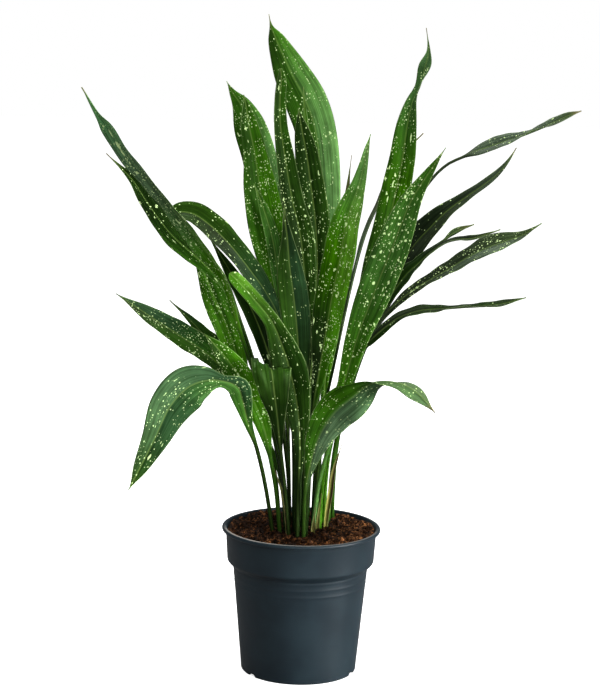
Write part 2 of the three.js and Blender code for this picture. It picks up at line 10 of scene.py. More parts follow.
import bmesh
import bpy
import numpy as np
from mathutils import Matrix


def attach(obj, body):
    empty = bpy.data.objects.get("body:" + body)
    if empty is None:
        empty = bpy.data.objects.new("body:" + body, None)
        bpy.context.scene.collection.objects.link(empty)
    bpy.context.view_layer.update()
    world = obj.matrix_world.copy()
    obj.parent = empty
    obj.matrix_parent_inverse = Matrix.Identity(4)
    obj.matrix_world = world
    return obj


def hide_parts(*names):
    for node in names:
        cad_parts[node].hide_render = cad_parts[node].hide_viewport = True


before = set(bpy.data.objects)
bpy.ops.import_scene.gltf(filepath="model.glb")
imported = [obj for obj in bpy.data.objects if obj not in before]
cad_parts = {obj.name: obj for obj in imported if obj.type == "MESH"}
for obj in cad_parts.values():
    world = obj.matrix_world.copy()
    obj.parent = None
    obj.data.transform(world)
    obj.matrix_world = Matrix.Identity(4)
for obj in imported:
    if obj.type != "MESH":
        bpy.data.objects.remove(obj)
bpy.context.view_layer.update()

MM = 0.001
BODY = "root"

# Camera: the photograph's angle, with the pot's axis a few pixels right of its middle, from a place
# in metres
PICTURE_HEIGHT = 700
FOCAL_PIXELS = 1880
SENSOR = 36
CAMERA_PLACE = (0, -1.95, 0.664)
CAMERA_PITCH = 9.26
CAMERA_ROLL = 1.3
AXIS_PIXELS = 5.2

# Leaves, as the frame's solids have them: each starts down in the peat at FOOT_DEPTH over the ground,
# and its blade opens over the first part of its length. Waves are counted from the blade's base to its
# tip, and lag by a number of radians on the right half.
FOOT_DEPTH = 123
STALK_FLATTENING = 1.74
KEEL = 1.1
BLADE_HALF_THICKNESS = 0.4
RIB_SAMPLES = 240
OPENING = 0.3
WAVES = 3.2
WAVE_SHIFT = 0.17
WAVE_LAG = 2.2
TIP_WIDTH = 0.8

# What a leaf has where its entry says nothing else: its stalk's radius, how far its halves fold up,
# its turns, the height of its margins' waves and of its crinkles, the length over which its end is
# rounded, and whether it bends over backwards
PLAIN_LEAF = dict(stalk=2.2, fold=12, turns=[0, 0], wave=1, crinkle=0, round_end=0, bends_back=False)
PLAIN_SHEATH = dict(PLAIN_LEAF, stalk=1.6, fold=35, wave=0)

# The finer surface of a leaf: its rings and their points, and the shapes that it adds to the solid.
# Pleats are counted over half the width, ruffles along the blade.
COLUMNS = 21
BLADE_STEP = 2.8
STALK_STEP = 8
FEWEST_STALK_RINGS = 3
FEWEST_BLADE_RINGS = 8
ROUND_END_RINGS = (0.3, 0.12, 0.03)
CAMBER = 0.035
GROOVE_DEPTH = 0.45
GROOVE_WIDTH = 1.2
PLEATS = 2.2
PLEAT_DEPTH = 0.22
PLEAT_START = (0.05, 0.3)
RUFFLES = 8.5
RUFFLE_HEIGHT = 0.5
CRINKLE_START = (0.5, 0.7)
# Crinkles: waves over half the width, waves along the blade, and share of the full height
CRINKLES = ((1.7, 2.1, 1), (3.9, -1.3, 0.6))

# Where the blade's own tones and its speckles set in, as shares of its length, and how far from the
# midrib its halves' tones meet, as a share of the half width. A dried leaf turns brown over the last
# millimetres to its tip. The leaves' patterns are kept apart by a spacing in metres.
BLADE_TONES_START = (0, 0.12)
MIDRIB_BLEND = 0.12
SPECKLES_START = (0.02, 0.2)
DRY_START = 14
DRY_FULL = 2
PATTERN_SPACING = 0.9

# Pot: the heights and radii of its outline, its floor, drain holes and notches, and how finely all of
# it is divided
POT_HEIGHT = 156
WALL = 1.3
RIM_RADIUS = 84.5
RIM_BEAD = 4.2
RIM_TOP_WIDTH = 3
RIM_BEVEL = 1.2
COLLAR_TOP_RADIUS = 80.3
COLLAR_LOW_RADIUS = 78.3
COLLAR_LOW = 120.5
COLLAR_CHAMFER_WIDTH = 0.6
COLLAR_CHAMFER_HEIGHT = 1.6
SHOULDER_RADIUS = 72.5
SHOULDER_LOW = 114
SHOULDER_STEP = 0.6
BODY_TOP_RADIUS = 71.4
BODY_TOP = 108
BODY_LOW_RADIUS = 61.9
BODY_LOW = 4
STACKING_RIBS = (96.5, 104, 111.2)
RIB_PROUD = 0.22
RIB_HALF_HEIGHT = 1.6
RIB_REACH = 3
FOOT_RADIUS = 61
FOOT_WIDTH = 2.6
FOOT_CHAMFER = 0.7
FLOOR_THICKNESS = 1.6
FLOOR_CORNER = 3
CHANNEL_RADIUS = 28
CHANNEL_HEIGHT = 4
CHANNEL_SETBACK = 0.8
DRAIN_HOLES = 6
DRAIN_RADIUS = 4
DRAIN_CIRCLE = 45
DRAIN_SIDES = 40
DRAIN_CUT_HEIGHTS = (1, 8)
MERGE_DISTANCE = 0.01
NOTCH_ANGLES = (-53, 67, 187)
NOTCH_WIDTH = 10
NOTCH_HEIGHT = 3
NOTCH_EASE = 1
POT_TURNS = 240
BODY_STEP = 8
RIB_STEP = 0.5
CORNER_POINTS = 5
SHARP_ANGLE = 38

# Peat: its surface has the solid's lumps, which are two crossed waves and a slanting one, in radians to
# the millimetre, and coarse crumb of four sizes, each with its height
SOIL_LEVEL = 148.5
SOIL_ROUGHNESS = 1.6
SOIL_EDGE_RISE = 4.5
SOIL_CORNER = 2.5
SOIL_BEVEL = 0.5
SOIL_INNERMOST = 0.4
GAP = 0.3
SOIL_RINGS = 100
SOIL_TURNS = 240
LUMP_ACROSS = 0.13
LUMP_ACROSS_SHIFT = 1.3
LUMP_BACK = 0.11
LUMP_BACK_SHIFT = -0.4
LUMP_SLANT = (0.31, 0.23)
LUMP_SLANT_HEIGHT = 0.7
CRUMB_LAYERS = ((13, 1.3), (6, 1.1), (3, 0.8), (1.6, 0.4))
LATTICE = 128
SURFACE_SEED = 7

# Loose crumbs: their middle size, how much sizes differ, and how far each is stretched, dented and
# raised
CRUMBS = 900
CRUMB_SEED = 11
CRUMB_RINGS = 5
CRUMB_TURNS = 8
CRUMB_SIZE = 1.15
CRUMB_SPREAD = 0.45
CRUMB_LIMITS = (0.5, 3.6)
CRUMB_STRETCH = (0.6, 1.3)
CRUMB_DENTS = (0.72, 1.15)
CRUMB_RAISE = 0.25
CRUMB_EDGE = 74

# Fibres: their length, bend in radians, radius and height over the peat
FIBRES = 380
FIBRE_SEED = 5
FIBRE_STEPS = 7
FIBRE_SIDES = 5
FIBRE_LENGTH = (5, 17)
FIBRE_BEND = (-1.2, 1.2)
FIBRE_RADIUS = (0.15, 0.42)
FIBRE_RAISE = 0.35
FIBRE_LIFT = (-0.2, 0.9)
FIBRE_TAPER = 1.9
FIBRE_EDGE = 70
FIBRE_SHADE = (0.55, 1)

# Speckles, in cells: the smallest spot's radius, the softness of its outline, the waves of the
# outline, and how clusters of a few cells raise or lower their number
SPOT_SMALLEST = 0.1
SPOT_SOFTNESS = 0.08
OUTLINE_WAVES = 3.4
CLUSTER_SCALE = 0.16
CLUSTERS = (0.36, 0.66)
CLUSTER_SHARES = (0.12, 0.95)

# The three kinds of speckle: cells to the metre, how many cells lie along the leaf for one across it,
# how much more than the smallest the largest spot's radius is, and how ragged spots are
FINE = {"Cells": 430, "Stretch": 0.75, "Largest": 0.22, "Ragged": 0.25}
DASHES = {"Cells": 420, "Stretch": 0.2, "Largest": 0.2, "Ragged": 0.2}
BLOTCHES = {"Cells": 210, "Stretch": 0.7, "Largest": 0.2, "Ragged": 0.7}
DASH_SHARE = 0.14

# Lines along a leaf's midrib and margins: from how far off to where they fade, and how they cover the
# tone. The margins' lines are a painted highlight where the edge catches light; they lie in the outer
# half and are patchy.
MIDRIB_LINE = (0.3 * MM, 1.1 * MM)
MIDRIB_COVER = 0.27
MIDRIB_ON_STALK = 0.15
MARGIN_LINE = (0.2 * MM, 1.1 * MM)
MARGIN_COVER = 0.4
MARGIN_PLACE = (0.5, 0.6)
MARGIN_PATCHES = (0.35, 1)

# How dark and how light a leaf's stripes and mottling make its tone, how much of the tone its
# underside's grey, its speckles and a dried tip cover, over what share of its half width a streak's edge
# is soft, how rough leaves and sheaths are, and how that changes from dark stripes to light ones
STRIPE_LIGHT = (0.68, 1.32)
MOTTLE_LIGHT = (0.82, 1.18)
UNDERSIDE_COVER = 0.25
SPECKLE_COVER = 0.96
DRY_COVER = 0.75
STREAK_EDGE = 0.2
LEAF_ROUGHNESS = 0.38
SHEATH_ROUGHNESS = 0.7
STRIPE_ROUGHNESS = (0.06, -0.04)

# Painted highlight on the rim, a light line where its edge catches light: how far under the rim's top
# it starts and is full, its width, over how much more it fades, where it fades to the back and to the
# right, in metres, and its cover from left to right
RIM_HIGHLIGHT_UNDER_TOP = (1, 0.4)
RIM_HIGHLIGHT_WIDTH = 2.2
RIM_HIGHLIGHT_FADE = 0.8
RIM_HIGHLIGHT_TO_BACK = (-0.04, 0)
RIM_HIGHLIGHT_TO_RIGHT = (-0.05, 0.05)
RIM_HIGHLIGHT_COVER = (0.9, 0.3)

# Plastic: how much of it the scuffs cover, and its roughness
SCUFF_COVER = 0.2
PLASTIC_ROUGHNESS = (0.4, 0.5)

# Painted shade and light on the peat: it is painted darker among the stalks, where their shade falls,
# and brightens away from the axis and to the right, where light falls from that side, over these metres
STALK_SHADE_SPAN = (0.025, 0.074)
STALK_SHADE_LIGHT = (0.35, 1.1)
RIGHT_LIGHT_SPAN = (-0.06, 0.07)
RIGHT_LIGHT_LEVELS = (0.75, 1.7)

# Noise from 0 to 1 lies mostly within the first two. Over the others a leaf's light stripes, scuffs,
# brown crumb and rusty crumb set in.
NOISE_WIDE = (0.3, 0.7)
NOISE_NARROW = (0.35, 0.65)
STRIPE_NOISE = (0.36, 0.64)
SCUFF_NOISE = (0.62, 0.75)
BROWN_NOISE = (0.34, 0.56)
RUST_NOISE = (0.56, 0.74)

# Studio: the floor's half width, over how many metres from the pot's middle its shadow ends, and how
# far the camera sees
FLOOR_HALF = 14000
FLOOR_SHADOW = (0.05, 0.3)
FLOOR_GLOW = (0.72, 1)
FURTHEST_SEEN = 100

# Colours of the finishes
UNDERSIDE = "#6f8a5c"
# Pale line along the leaf margins: a painted highlight where the edge catches light
MARGIN_HIGHLIGHT = "#9dbb74"
MIDRIB = "#86a552"
SPECKLE = "#d8f4aa"
DRY_TIP = "#7c6a4c"
LEAF_SHEEN = "#9fd07a"
PLASTIC = "#162229"
PLASTIC_CLOUD = "#1b2930"
SCUFF = "#2c3a44"
# Light line at the rim's edge: a painted highlight
RIM_HIGHLIGHT = "#a29c94"
PEAT_DARK = "#0b0603"
PEAT_BROWN = "#28170c"
PEAT_RUST = "#7a4f2e"

# Leaf colours: plain greens, bluish, greyish and cool ones, and those of dry leaf, each kind from
# dark to pale. They are partly the leaves' own colour and partly painted light: the darkest stand for
# painted shade among the stalks and on leaves turned from the light, and the palest for painted sheen
# and painted light on faces that catch it.
TONES = {
    "night": "#0f1d08",
    "moss": "#172c0a",
    "deep": "#203b0d",
    "leaf": "#2b530f",
    "fresh": "#3b700d",
    "lime": "#568a26",
    "pale": "#5f8c4a",
    "blue": "#284527",
    "slate": "#41603b",
    "frost": "#5a7853",
    "coal": "#1d2719",
    "ash": "#2a3523",
    "smoke": "#445340",
    "fern": "#365f22",
    "mist": "#5c9c5c",
    "dew": "#6cb46c",
    "olive": "#3a4a2c",
    "bark": "#4a3626",
    "straw": "#8f8a48",
}

# Each leaf: its foot in the peat, the points of its midrib up to the tip, and the blade's full widths
# at the last of them. Turns are its face's, in degrees from the front, from the blade's base to its tip.
LEAVES = [
    dict(name="leaf_left_high", foot=(-12, -4), rib=[(-22, -2, 217), (-43, -2, 292), (-60, -3, 340),
         (-72, -8, 377), (-86, -18, 422), (-117, -32, 468), (-155, -48, 517), (-185, -57, 553),
         (-200, -62, 577), (-212, -65, 591), (-228, -68, 616)], widths=[6, 13, 25, 22, 22, 22, 8, 0],
         fold=20, turns=[-30, -45, -50, -40]),
    dict(name="leaf_left_high_under", foot=(-13, 4), rib=[(-24, 5, 216), (-42, 6, 292), (-66, 4, 366),
         (-84, -4, 410), (-108, -9, 436), (-140, -16, 465), (-163, -21, 495), (-180, -24, 521),
         (-194, -26, 536), (-207, -28, 549)], widths=[10, 24, 30, 24, 12, 4, 0], fold=20, turns=[35, 35]),
    dict(name="leaf_left_bright", foot=(-14, 12), rib=[(-23, 12, 203), (-42, 13, 258), (-64, 14, 311),
         (-80, 15, 358), (-96, 13, 396), (-110, 11, 430), (-122, 10, 456)], widths=[14, 28, 28, 14, 0],
         turns=[10, 15, 10]),
    dict(name="leaf_left_low_arch", foot=(-26, -3), rib=[(-38, -8, 196), (-48, -20, 242), (-57, -36, 272),
         (-63, -50, 300), (-68, -60, 316), (-84, -66, 323), (-101, -73, 324), (-119, -80, 317),
         (-136, -87, 298), (-149, -93, 269), (-164, -98, 238), (-175, -102, 215)],
         widths=[9, 20, 24, 14, 32, 46, 43, 30, 16, 0], fold=10, turns=[10, 0, 0, -10, -20], wave=0.8),
    dict(name="leaf_front_wavy", foot=(-10, -15), bends_back=True, rib=[(-18, -18, 199), (-23, -25, 239),
         (-27, -34, 278), (-31, -41, 308), (-35, -38, 331), (-39, -27, 325), (-42, -22, 297)],
         widths=[16, 32, 43, 38, 0], fold=2, turns=[0, 0, 10, 25, 25], wave=1.5, crinkle=1.4),
    dict(name="leaf_left_short", foot=(-20, -9), rib=[(-27, -10, 192), (-34, -11, 230), (-43, -12, 269),
         (-57, -14, 301), (-74, -18, 328), (-92, -22, 351), (-105, -25, 365)], widths=[18, 26, 26, 14, 0],
         fold=10, turns=[15, 15, 10]),
    dict(name="leaf_left_pointed", foot=(-21, 15), rib=[(-27, 16, 191), (-35, 18, 234), (-51, 20, 275),
         (-76, 22, 308), (-105, 23, 336), (-133, 24, 354), (-165, 25, 374), (-202, 26, 398)],
         widths=[14, 28, 29, 21, 0], fold=20, turns=[30, 35, 30]),
    dict(name="leaf_left_dark", foot=(-21, 24), rib=[(-28, 25, 189), (-35, 26, 232), (-49, 30, 270),
         (-71, 34, 308), (-95, 38, 338), (-113, 40, 358), (-146, 42, 390)], widths=[10, 21, 15, 0],
         fold=20, turns=[40, 40]),
    dict(name="leaf_left_arch_back", foot=(-4, -3), rib=[(-7, -2, 247), (-16, 1, 323), (-27, 3, 375),
         (-43, 4, 406), (-60, 4, 429), (-76, 4, 449), (-91, 3, 465), (-106, 2, 478), (-121, 0, 487),
         (-137, -2, 487), (-149, -4, 474)], widths=[10, 19, 24, 26, 29, 28, 26, 19, 0], fold=15,
         turns=[30, 30, 30, 40]),
    dict(name="leaf_front_curl", foot=(-4, -21), rib=[(-4, -20, 199), (-3, -19, 243), (-6, -18, 284),
         (-14, -18, 322), (-22, -20, 348), (-35, -25, 379), (-53, -30, 402), (-68, -34, 419),
         (-79, -36, 430)], widths=[12, 26, 38, 32, 18, 16, 15, 13], turns=[0, 0, 0, 10], wave=1.2,
         round_end=8),
    dict(name="leaf_left_inner", foot=(-13, 28), rib=[(-14, 27, 188), (-20, 26, 244), (-28, 27, 298),
         (-42, 27, 345), (-59, 26, 386), (-80, 24, 422), (-104, 21, 461)], widths=[10, 20, 21, 15, 0],
         turns=[20, 20]),
    dict(name="leaf_tall_left_rear", foot=(-6, 22), rib=[(-11, 24, 266), (-23, 26, 363), (-34, 28, 448),
         (-44, 31, 500), (-52, 34, 542), (-63, 38, 575), (-72, 41, 597), (-82, 43, 611), (-89, 45, 623)],
         widths=[10, 27, 37, 37, 35, 22, 8, 0]),
    dict(name="leaf_tall_left_front", foot=(-7, 14), rib=[(-11, 14, 258), (-22, 15, 343), (-32, 16, 417),
         (-43, 17, 470), (-51, 18, 512), (-57, 20, 548), (-64, 22, 579), (-67, 23, 597), (-70, 24, 610)],
         widths=[8, 29, 40, 37, 26, 19, 9, 0], turns=[10, 10]),
    dict(name="leaf_young_left", foot=(-6, 6), rib=[(-10, 8, 248), (-18, 10, 323), (-26, 11, 387),
         (-32, 11, 434), (-38, 7, 466), (-47, 6, 494), (-57, 5, 519)], widths=[8, 15, 15, 10, 0],
         turns=[10, 10], wave=0.5),
    dict(name="leaf_centre_shaded", foot=(-4, -12), rib=[(-2, -11, 230), (-3, -11, 295), (-8, -9, 358),
         (-13, -8, 401), (-18, -6, 434), (-21, -4, 463), (-24, -3, 484), (-25, -2, 498)],
         widths=[12, 28, 32, 27, 13, 5, 0], fold=10),
    dict(name="leaf_centre_tall", foot=(3, -2), rib=[(1, -1, 261), (1, 0, 351), (-1, 2, 409),
         (-7, 4, 462), (-17, 6, 503), (-25, 9, 544), (-31, 13, 580), (-32, 17, 608), (-31, 19, 626),
         (-32, 20, 638)], widths=[8, 21, 29, 24, 20, 15, 12.5, 10.5, 3], fold=15, turns=[10, 10]),
    dict(name="leaf_centre_dark", foot=(1, 5), rib=[(4, 6, 248), (8, 9, 345), (11, 13, 424), (8, 16, 477),
         (2, 20, 518), (-3, 24, 549), (-8, 27, 572), (-11, 29, 587), (-13, 30, 597)],
         widths=[10, 27, 31, 29, 25, 17, 7, 0], fold=10),
    dict(name="leaf_tallest", foot=(1, 13), rib=[(4, 17, 247), (9, 23, 343), (14, 31, 427), (15, 40, 485),
         (12, 48, 532), (6, 56, 572), (-5, 64, 603), (-20, 72, 630), (-31, 79, 652), (-39, 84, 669),
         (-44, 88, 681), (-47, 92, 694)], widths=[8, 27, 37, 42, 44, 45, 39, 28, 17, 4, 0], fold=8),
    dict(name="leaf_young_centre", foot=(0, 22), stalk=1.6, rib=[(0, 21, 267), (1, 21, 364), (8, 24, 449),
         (6, 31, 507), (-1, 38, 553), (-6, 42, 590), (-8, 45, 619)], widths=[7, 8, 7, 5, 0], fold=10,
         turns=[20, 20], wave=0),
    dict(name="leaf_right_of_centre", foot=(4, -10), rib=[(9, -13, 269), (15, -16, 322), (21, -18, 366),
         (27, -21, 408), (34, -25, 447), (39, -29, 482), (46, -31, 506), (51, -33, 523), (55, -35, 541),
         (58, -37, 559), (61, -38, 575)], widths=[15, 30, 36, 36, 32, 25, 17, 11, 6, 0], fold=15,
         turns=[-20, -20]),
    dict(name="leaf_dry_tipped", foot=(4, 33), rib=[(10, 38, 242), (21, 46, 339), (32, 55, 414),
         (40, 63, 473), (42, 68, 515), (45, 72, 547)], widths=[8, 16, 14, 4, 0], fold=8, wave=0.5),
    dict(name="leaf_edge_on", foot=(11, 25), stalk=1.6, rib=[(15, 26, 234), (32, 29, 331), (46, 33, 406),
         (59, 38, 460), (73, 44, 496), (87, 50, 531), (100, 55, 552), (120, 60, 573)],
         widths=[8, 11, 12, 10, 6, 0], fold=8, turns=[-75, -75], wave=0.5),
    dict(name="leaf_right_tall", foot=(10, 16), rib=[(20, 17, 241), (38, 21, 311), (55, 26, 374),
         (73, 31, 434), (85, 36, 477), (92, 39, 511), (98, 42, 545), (102, 46, 578), (107, 49, 604),
         (114, 52, 622), (120, 55, 643), (123, 58, 660), (120, 62, 683)],
         widths=[12, 28, 31, 32, 29, 24, 17, 16, 15, 4, 0], fold=14,
         turns=[-10, -10, -10, -10, -10, -10, -10, -10, -10, -28, -75, -15, -10]),
    dict(name="leaf_right_front", foot=(10, 7), rib=[(17, 3, 197), (29, -7, 252), (39, -18, 302),
         (48, -27, 343), (56, -34, 374), (66, -41, 404), (76, -48, 434), (85, -53, 459), (93, -58, 483),
         (101, -63, 506), (110, -67, 524), (121, -71, 542), (135, -75, 565)],
         widths=[12, 21, 27, 34, 37, 36, 31, 24, 16, 9, 0], fold=10, turns=[-10, -10]),
    dict(name="leaf_right_upper", foot=(23, 47), stalk=1.6, rib=[(26, 52, 195), (33, 60, 249),
         (46, 66, 303), (62, 72, 364), (81, 76, 425), (108, 78, 484), (130, 78, 520), (147, 78, 538),
         (164, 77, 547), (180, 75, 554), (198, 74, 561), (219, 72, 569), (238, 70, 577), (258, 68, 586),
         (274, 67, 594), (288, 66, 600)], widths=[16, 22, 18, 14, 14, 9, 0],
         turns=[-60, -55, -60, -85, -55, -40], wave=0.5),
    dict(name="leaf_right_dark", foot=(34, 54), rib=[(34, 54, 183), (37, 54, 234), (46, 55, 284),
         (61, 57, 338), (76, 58, 374), (95, 60, 415), (112, 61, 449), (131, 60, 472), (148, 59, 490),
         (167, 58, 505), (186, 57, 519), (200, 56, 531), (211, 55, 545), (219, 54, 560)],
         widths=[18, 32, 37, 31, 20, 14, 12, 9, 4, 0], fold=15, turns=[-40, -40]),
    dict(name="leaf_young_right", foot=(29, 46), stalk=1.2, rib=[(31, 46, 190), (38, 46, 246),
         (49, 46, 298), (67, 46, 351), (89, 46, 403), (113, 43, 438), (142, 42, 459), (157, 42, 470),
         (176, 40, 479)], widths=[9, 0], fold=10, turns=[-50, -50], wave=0),
    dict(name="leaf_right_thin", foot=(28, 37), rib=[(31, 37, 197), (36, 37, 243), (46, 37, 285),
         (61, 39, 335), (79, 39, 378), (94, 38, 406), (106, 36, 424), (118, 34, 436), (131, 33, 449),
         (145, 32, 459), (158, 31, 463), (176, 22, 466), (202, 20, 476)],
         widths=[17, 25, 19, 12, 10, 10, 7, 0], turns=[-50, -55, -60, -80, -55, -50]),
    dict(name="leaf_right_speckled", foot=(24, 28), rib=[(25, 28, 189), (29, 28, 234), (40, 28, 283),
         (55, 27, 332), (77, 25, 371), (94, 23, 392), (111, 20, 408), (131, 17, 422), (150, 14, 434),
         (171, 11, 448), (190, 8, 458), (208, 8, 465), (225, 6, 472), (243, 4, 485)],
         widths=[9, 14, 16, 18, 24, 29, 21, 10, 0], fold=14, turns=[-50, -50]),
    dict(name="leaf_right_low", foot=(19, 19), rib=[(22, 17, 203), (29, 15, 253), (43, 16, 299),
         (61, 16, 343), (70, 15, 355), (84, 14, 369), (99, 12, 381), (120, 9, 389), (141, 6, 392),
         (163, 3, 395), (184, 0, 397), (205, -3, 400), (229, -6, 408)],
         widths=[10, 15, 16, 14, 12, 10, 10, 11, 0], fold=14, turns=[-50, -55, -60, -60, -85, -60, -50]),
    dict(name="leaf_right_low_arch", foot=(3, -19), rib=[(3, -24, 190), (7, -32, 224), (15, -44, 259),
         (29, -58, 288), (48, -70, 309), (68, -79, 326), (94, -86, 328), (114, -90, 319),
         (132, -92, 300)], widths=[10, 27, 40, 41, 28, 21, 18, 0],
         turns=[0, 0, 0, 0, 0, 20, 80, 140, 150], wave=1.5),
    dict(name="leaf_back_arch", foot=(-2, 31), bends_back=True, rib=[(-2, 60, 227), (0, 85, 317),
         (2, 120, 397), (4, 160, 452), (6, 205, 475), (8, 245, 467), (10, 275, 442)],
         widths=[12, 32, 42, 38, 22, 0]),
    dict(name="leaf_back_left", foot=(-12, 36), bends_back=True, rib=[(-16, 62, 227), (-22, 92, 317),
         (-30, 125, 387), (-36, 160, 432), (-40, 200, 452), (-43, 235, 447)], widths=[12, 30, 36, 24, 0]),
    dict(name="leaf_back_right", foot=(16, 40), bends_back=True, rib=[(19, 66, 227), (24, 96, 309),
         (30, 130, 379), (35, 165, 425), (38, 205, 445), (40, 245, 439)], widths=[12, 30, 36, 24, 0]),
    dict(name="leaf_back_low", foot=(6, 44), bends_back=True, rib=[(8, 75, 212), (8, 110, 277),
         (6, 150, 312), (4, 190, 317), (2, 230, 297), (0, 262, 259)], widths=[14, 32, 38, 26, 0]),
    dict(name="leaf_back_tall", foot=(-8, 44), bends_back=True, rib=[(-10, 66, 247), (-12, 84, 347),
         (-10, 102, 437), (-6, 122, 507), (0, 142, 567)], widths=[14, 34, 28, 0]),
]

SHEATHS = [
    dict(name="sheath_brown", foot=(-14, -9.5), rib=[(-16, -9, 162), (-21, -9, 193), (-30, -9, 220)],
         widths=[5, 4, 0], turns=[20, 20]),
    dict(name="sheath_yellow", foot=(13, 0), rib=[(13, 0, 152), (15, 0, 177)], widths=[5, 0],
         turns=[-10, -10]),
    dict(name="sheath_pink", foot=(17, 12), rib=[(18, 12, 157), (21, 11, 189)], widths=[5, 0],
         turns=[-10, -10]),
    dict(name="sheath_papery", foot=(26, 20), rib=[(27, 20, 157), (31, 20, 190), (34, 20, 214),
         (42, 20, 243)], widths=[6, 7, 5, 0], turns=[-10, -10]),
]

# How each leaf is coloured: up its stalk, then from the blade's base to its tip on the left half and on
# the right half, as they lie with the face to the front and the tip up. Besides the leaf's own colour,
# the tones hold painted light: stalks and blade bases are painted darker as shade in the clump, a half
# turned from the light is painted darker, and a half or tip that catches it is painted lighter, as a
# pale sheen. The two numbers are how thickly its fine speckles and its large blotches lie.
LOOKS = {
    "leaf_left_high": ("night moss", "fresh fresh frost mist", "fresh lime frost dew", 1.6, 0.4),
    "leaf_left_high_under": ("moss moss", "deep leaf moss deep", "deep deep moss moss", 0.2, 0.18),
    "leaf_left_bright": ("moss leaf", "leaf fresh fresh leaf", "fresh fresh leaf leaf", 1.25, 0.18),
    "leaf_left_low_arch": ("night moss", "leaf fern blue deep", "leaf blue slate deep", 0.6, 0.04),
    "leaf_front_wavy": ("night night", "night moss deep fern", "night moss deep fern", 0.15, 0),
    "leaf_left_short": ("night leaf", "leaf fresh leaf moss", "leaf fresh fresh leaf", 1.0, 0.25),
    "leaf_left_pointed": ("moss leaf", "leaf deep deep ash", "deep leaf blue slate", 1.1, 0.15),
    "leaf_left_dark": ("night night", "night night deep deep", "deep night deep blue", 0.15, 0),
    "leaf_left_arch_back": ("night deep", "deep blue ash deep", "deep blue deep deep", 0.45, 0.05),
    "leaf_front_curl": ("night night", "night moss deep fresh", "night deep deep lime", 0.35, 0.04),
    "leaf_left_inner": ("night night", "night moss deep", "night night deep", 0.1, 0),
    "leaf_tall_left_rear": ("night deep", "moss deep leaf", "leaf fresh pale fresh", 0.8, 0.14),
    "leaf_tall_left_front": ("night moss", "fresh fresh leaf deep", "fresh leaf fresh leaf", 1.0, 0.2),
    "leaf_young_left": ("night moss", "moss fern fern leaf", "blue fern fern leaf", 0.6, 0),
    "leaf_centre_shaded": ("night night", "moss deep deep night", "moss moss blue night", 0.2, 0.03),
    "leaf_centre_tall": ("night night", "moss moss moss deep", "moss deep deep leaf", 0.7, 0.1),
    "leaf_centre_dark": ("night night", "night moss moss", "moss deep deep moss", 0.6, 0.04),
    "leaf_tallest": ("night deep", "leaf leaf leaf deep", "pale pale pale fresh", 0.5, 0.06),
    "leaf_young_centre": ("night deep", "leaf leaf", "fresh leaf", 0.2, 0),
    "leaf_right_of_centre": ("night moss", "moss moss fresh pale", "moss fresh lime pale", 0.8, 0.45),
    "leaf_dry_tipped": ("night night", "moss leaf olive bark", "moss leaf olive bark", 0.1, 0),
    "leaf_edge_on": ("moss moss", "moss smoke bark", "moss smoke bark", 0, 0),
    "leaf_right_tall": ("moss moss", "moss deep leaf slate", "leaf fresh leaf slate", 0.75, 0.1),
    "leaf_right_front": ("pale fern", "fresh leaf fern leaf", "fresh leaf fern leaf", 0.6, 0.7),
    "leaf_right_upper": ("ash ash", "ash smoke smoke olive", "ash smoke olive moss", 0.45, 0.05),
    "leaf_right_dark": ("leaf moss", "night coal coal smoke", "moss coal ash smoke", 0.15, 0.05),
    "leaf_young_right": ("leaf deep", "ash olive bark", "ash olive bark", 0.2, 0),
    "leaf_right_thin": ("leaf moss", "night moss coal ash", "moss moss ash ash", 0.1, 0),
    "leaf_right_speckled": ("fresh ash", "ash ash olive", "coal ash smoke ash", 0.8, 0.25),
    "leaf_right_low": ("fresh moss", "night ash moss ash", "moss moss ash moss", 0.2, 0.04),
    "leaf_right_low_arch": ("moss deep", "deep leaf leaf slate", "deep frost slate olive", 0.5, 0.05),
    "leaf_back_arch": ("leaf leaf", "leaf leaf blue leaf", "leaf leaf leaf slate", 0.6, 0.3),
    "leaf_back_left": ("leaf night", "night leaf leaf blue", "night leaf slate leaf", 0.6, 0.2),
    "leaf_back_right": ("leaf night", "night leaf slate leaf", "night fresh leaf leaf", 0.6, 0.4),
    "leaf_back_low": ("fresh leaf", "leaf leaf slate lime", "leaf leaf leaf lime", 0.5, 0.2),
    "leaf_back_tall": ("leaf leaf", "leaf deep leaf leaf", "leaf leaf fresh leaf", 0.6, 0.3),
    "sheath_brown": ("bark bark", "bark bark", "bark bark", 0, 0),
    "sheath_yellow": ("straw straw", "straw bark", "straw bark", 0, 0),
    "sheath_pink": ("straw bark", "bark straw", "bark straw", 0, 0),
    "sheath_papery": ("straw straw", "straw straw bark", "straw bark bark", 0, 0),
}

# Large cream streaks: how far up the blade as a share, how far across its half from the midrib, left
# being negative, half its length and half its width
STREAKS = {
    "leaf_left_high": ((0.838, -0.2, 6, 0.7), (0.795, -0.2, 5.5, 1.5), (0.768, -0.25, 5, 0.9)),
    "leaf_left_low_arch": ((0.85, -0.3, 4, 1.1),),
    "leaf_right_tall": ((0.69, 0.5, 6, 0.8), (0.6, 0.45, 5, 0.8), (0.56, -0.3, 4, 0.8)),
}

# The leaves whose tips have dried
DRY_TIPS = (
    "leaf_left_high", "leaf_left_high_under", "leaf_tallest", "leaf_right_tall", "leaf_right_dark",
    "leaf_right_upper", "leaf_right_low_arch", "leaf_dry_tipped", "leaf_edge_on", "sheath_brown",
    "sheath_yellow", "sheath_pink", "sheath_papery",
)


def smooth(low, high, value):
    """An S-shaped rise from 0 at low to 1 at high."""
    share = np.clip((value - low) / (high - low), 0, 1)
    return share * share * (3 - 2 * share)


def mix(start, end, share):
    """The value that lies the given share of the way from start to end."""
    return start + (end - start) * share


def paint(code):
    """A #rrggbb colour as linear red, green, blue and alpha."""
    levels = np.array([int(code[i:i + 2], 16) for i in (1, 3, 5)]) / 255
    linear = np.where(levels <= 0.04045, levels / 12.92, ((levels + 0.055) / 1.055) ** 2.4)
    return (*linear.tolist(), 1.0)


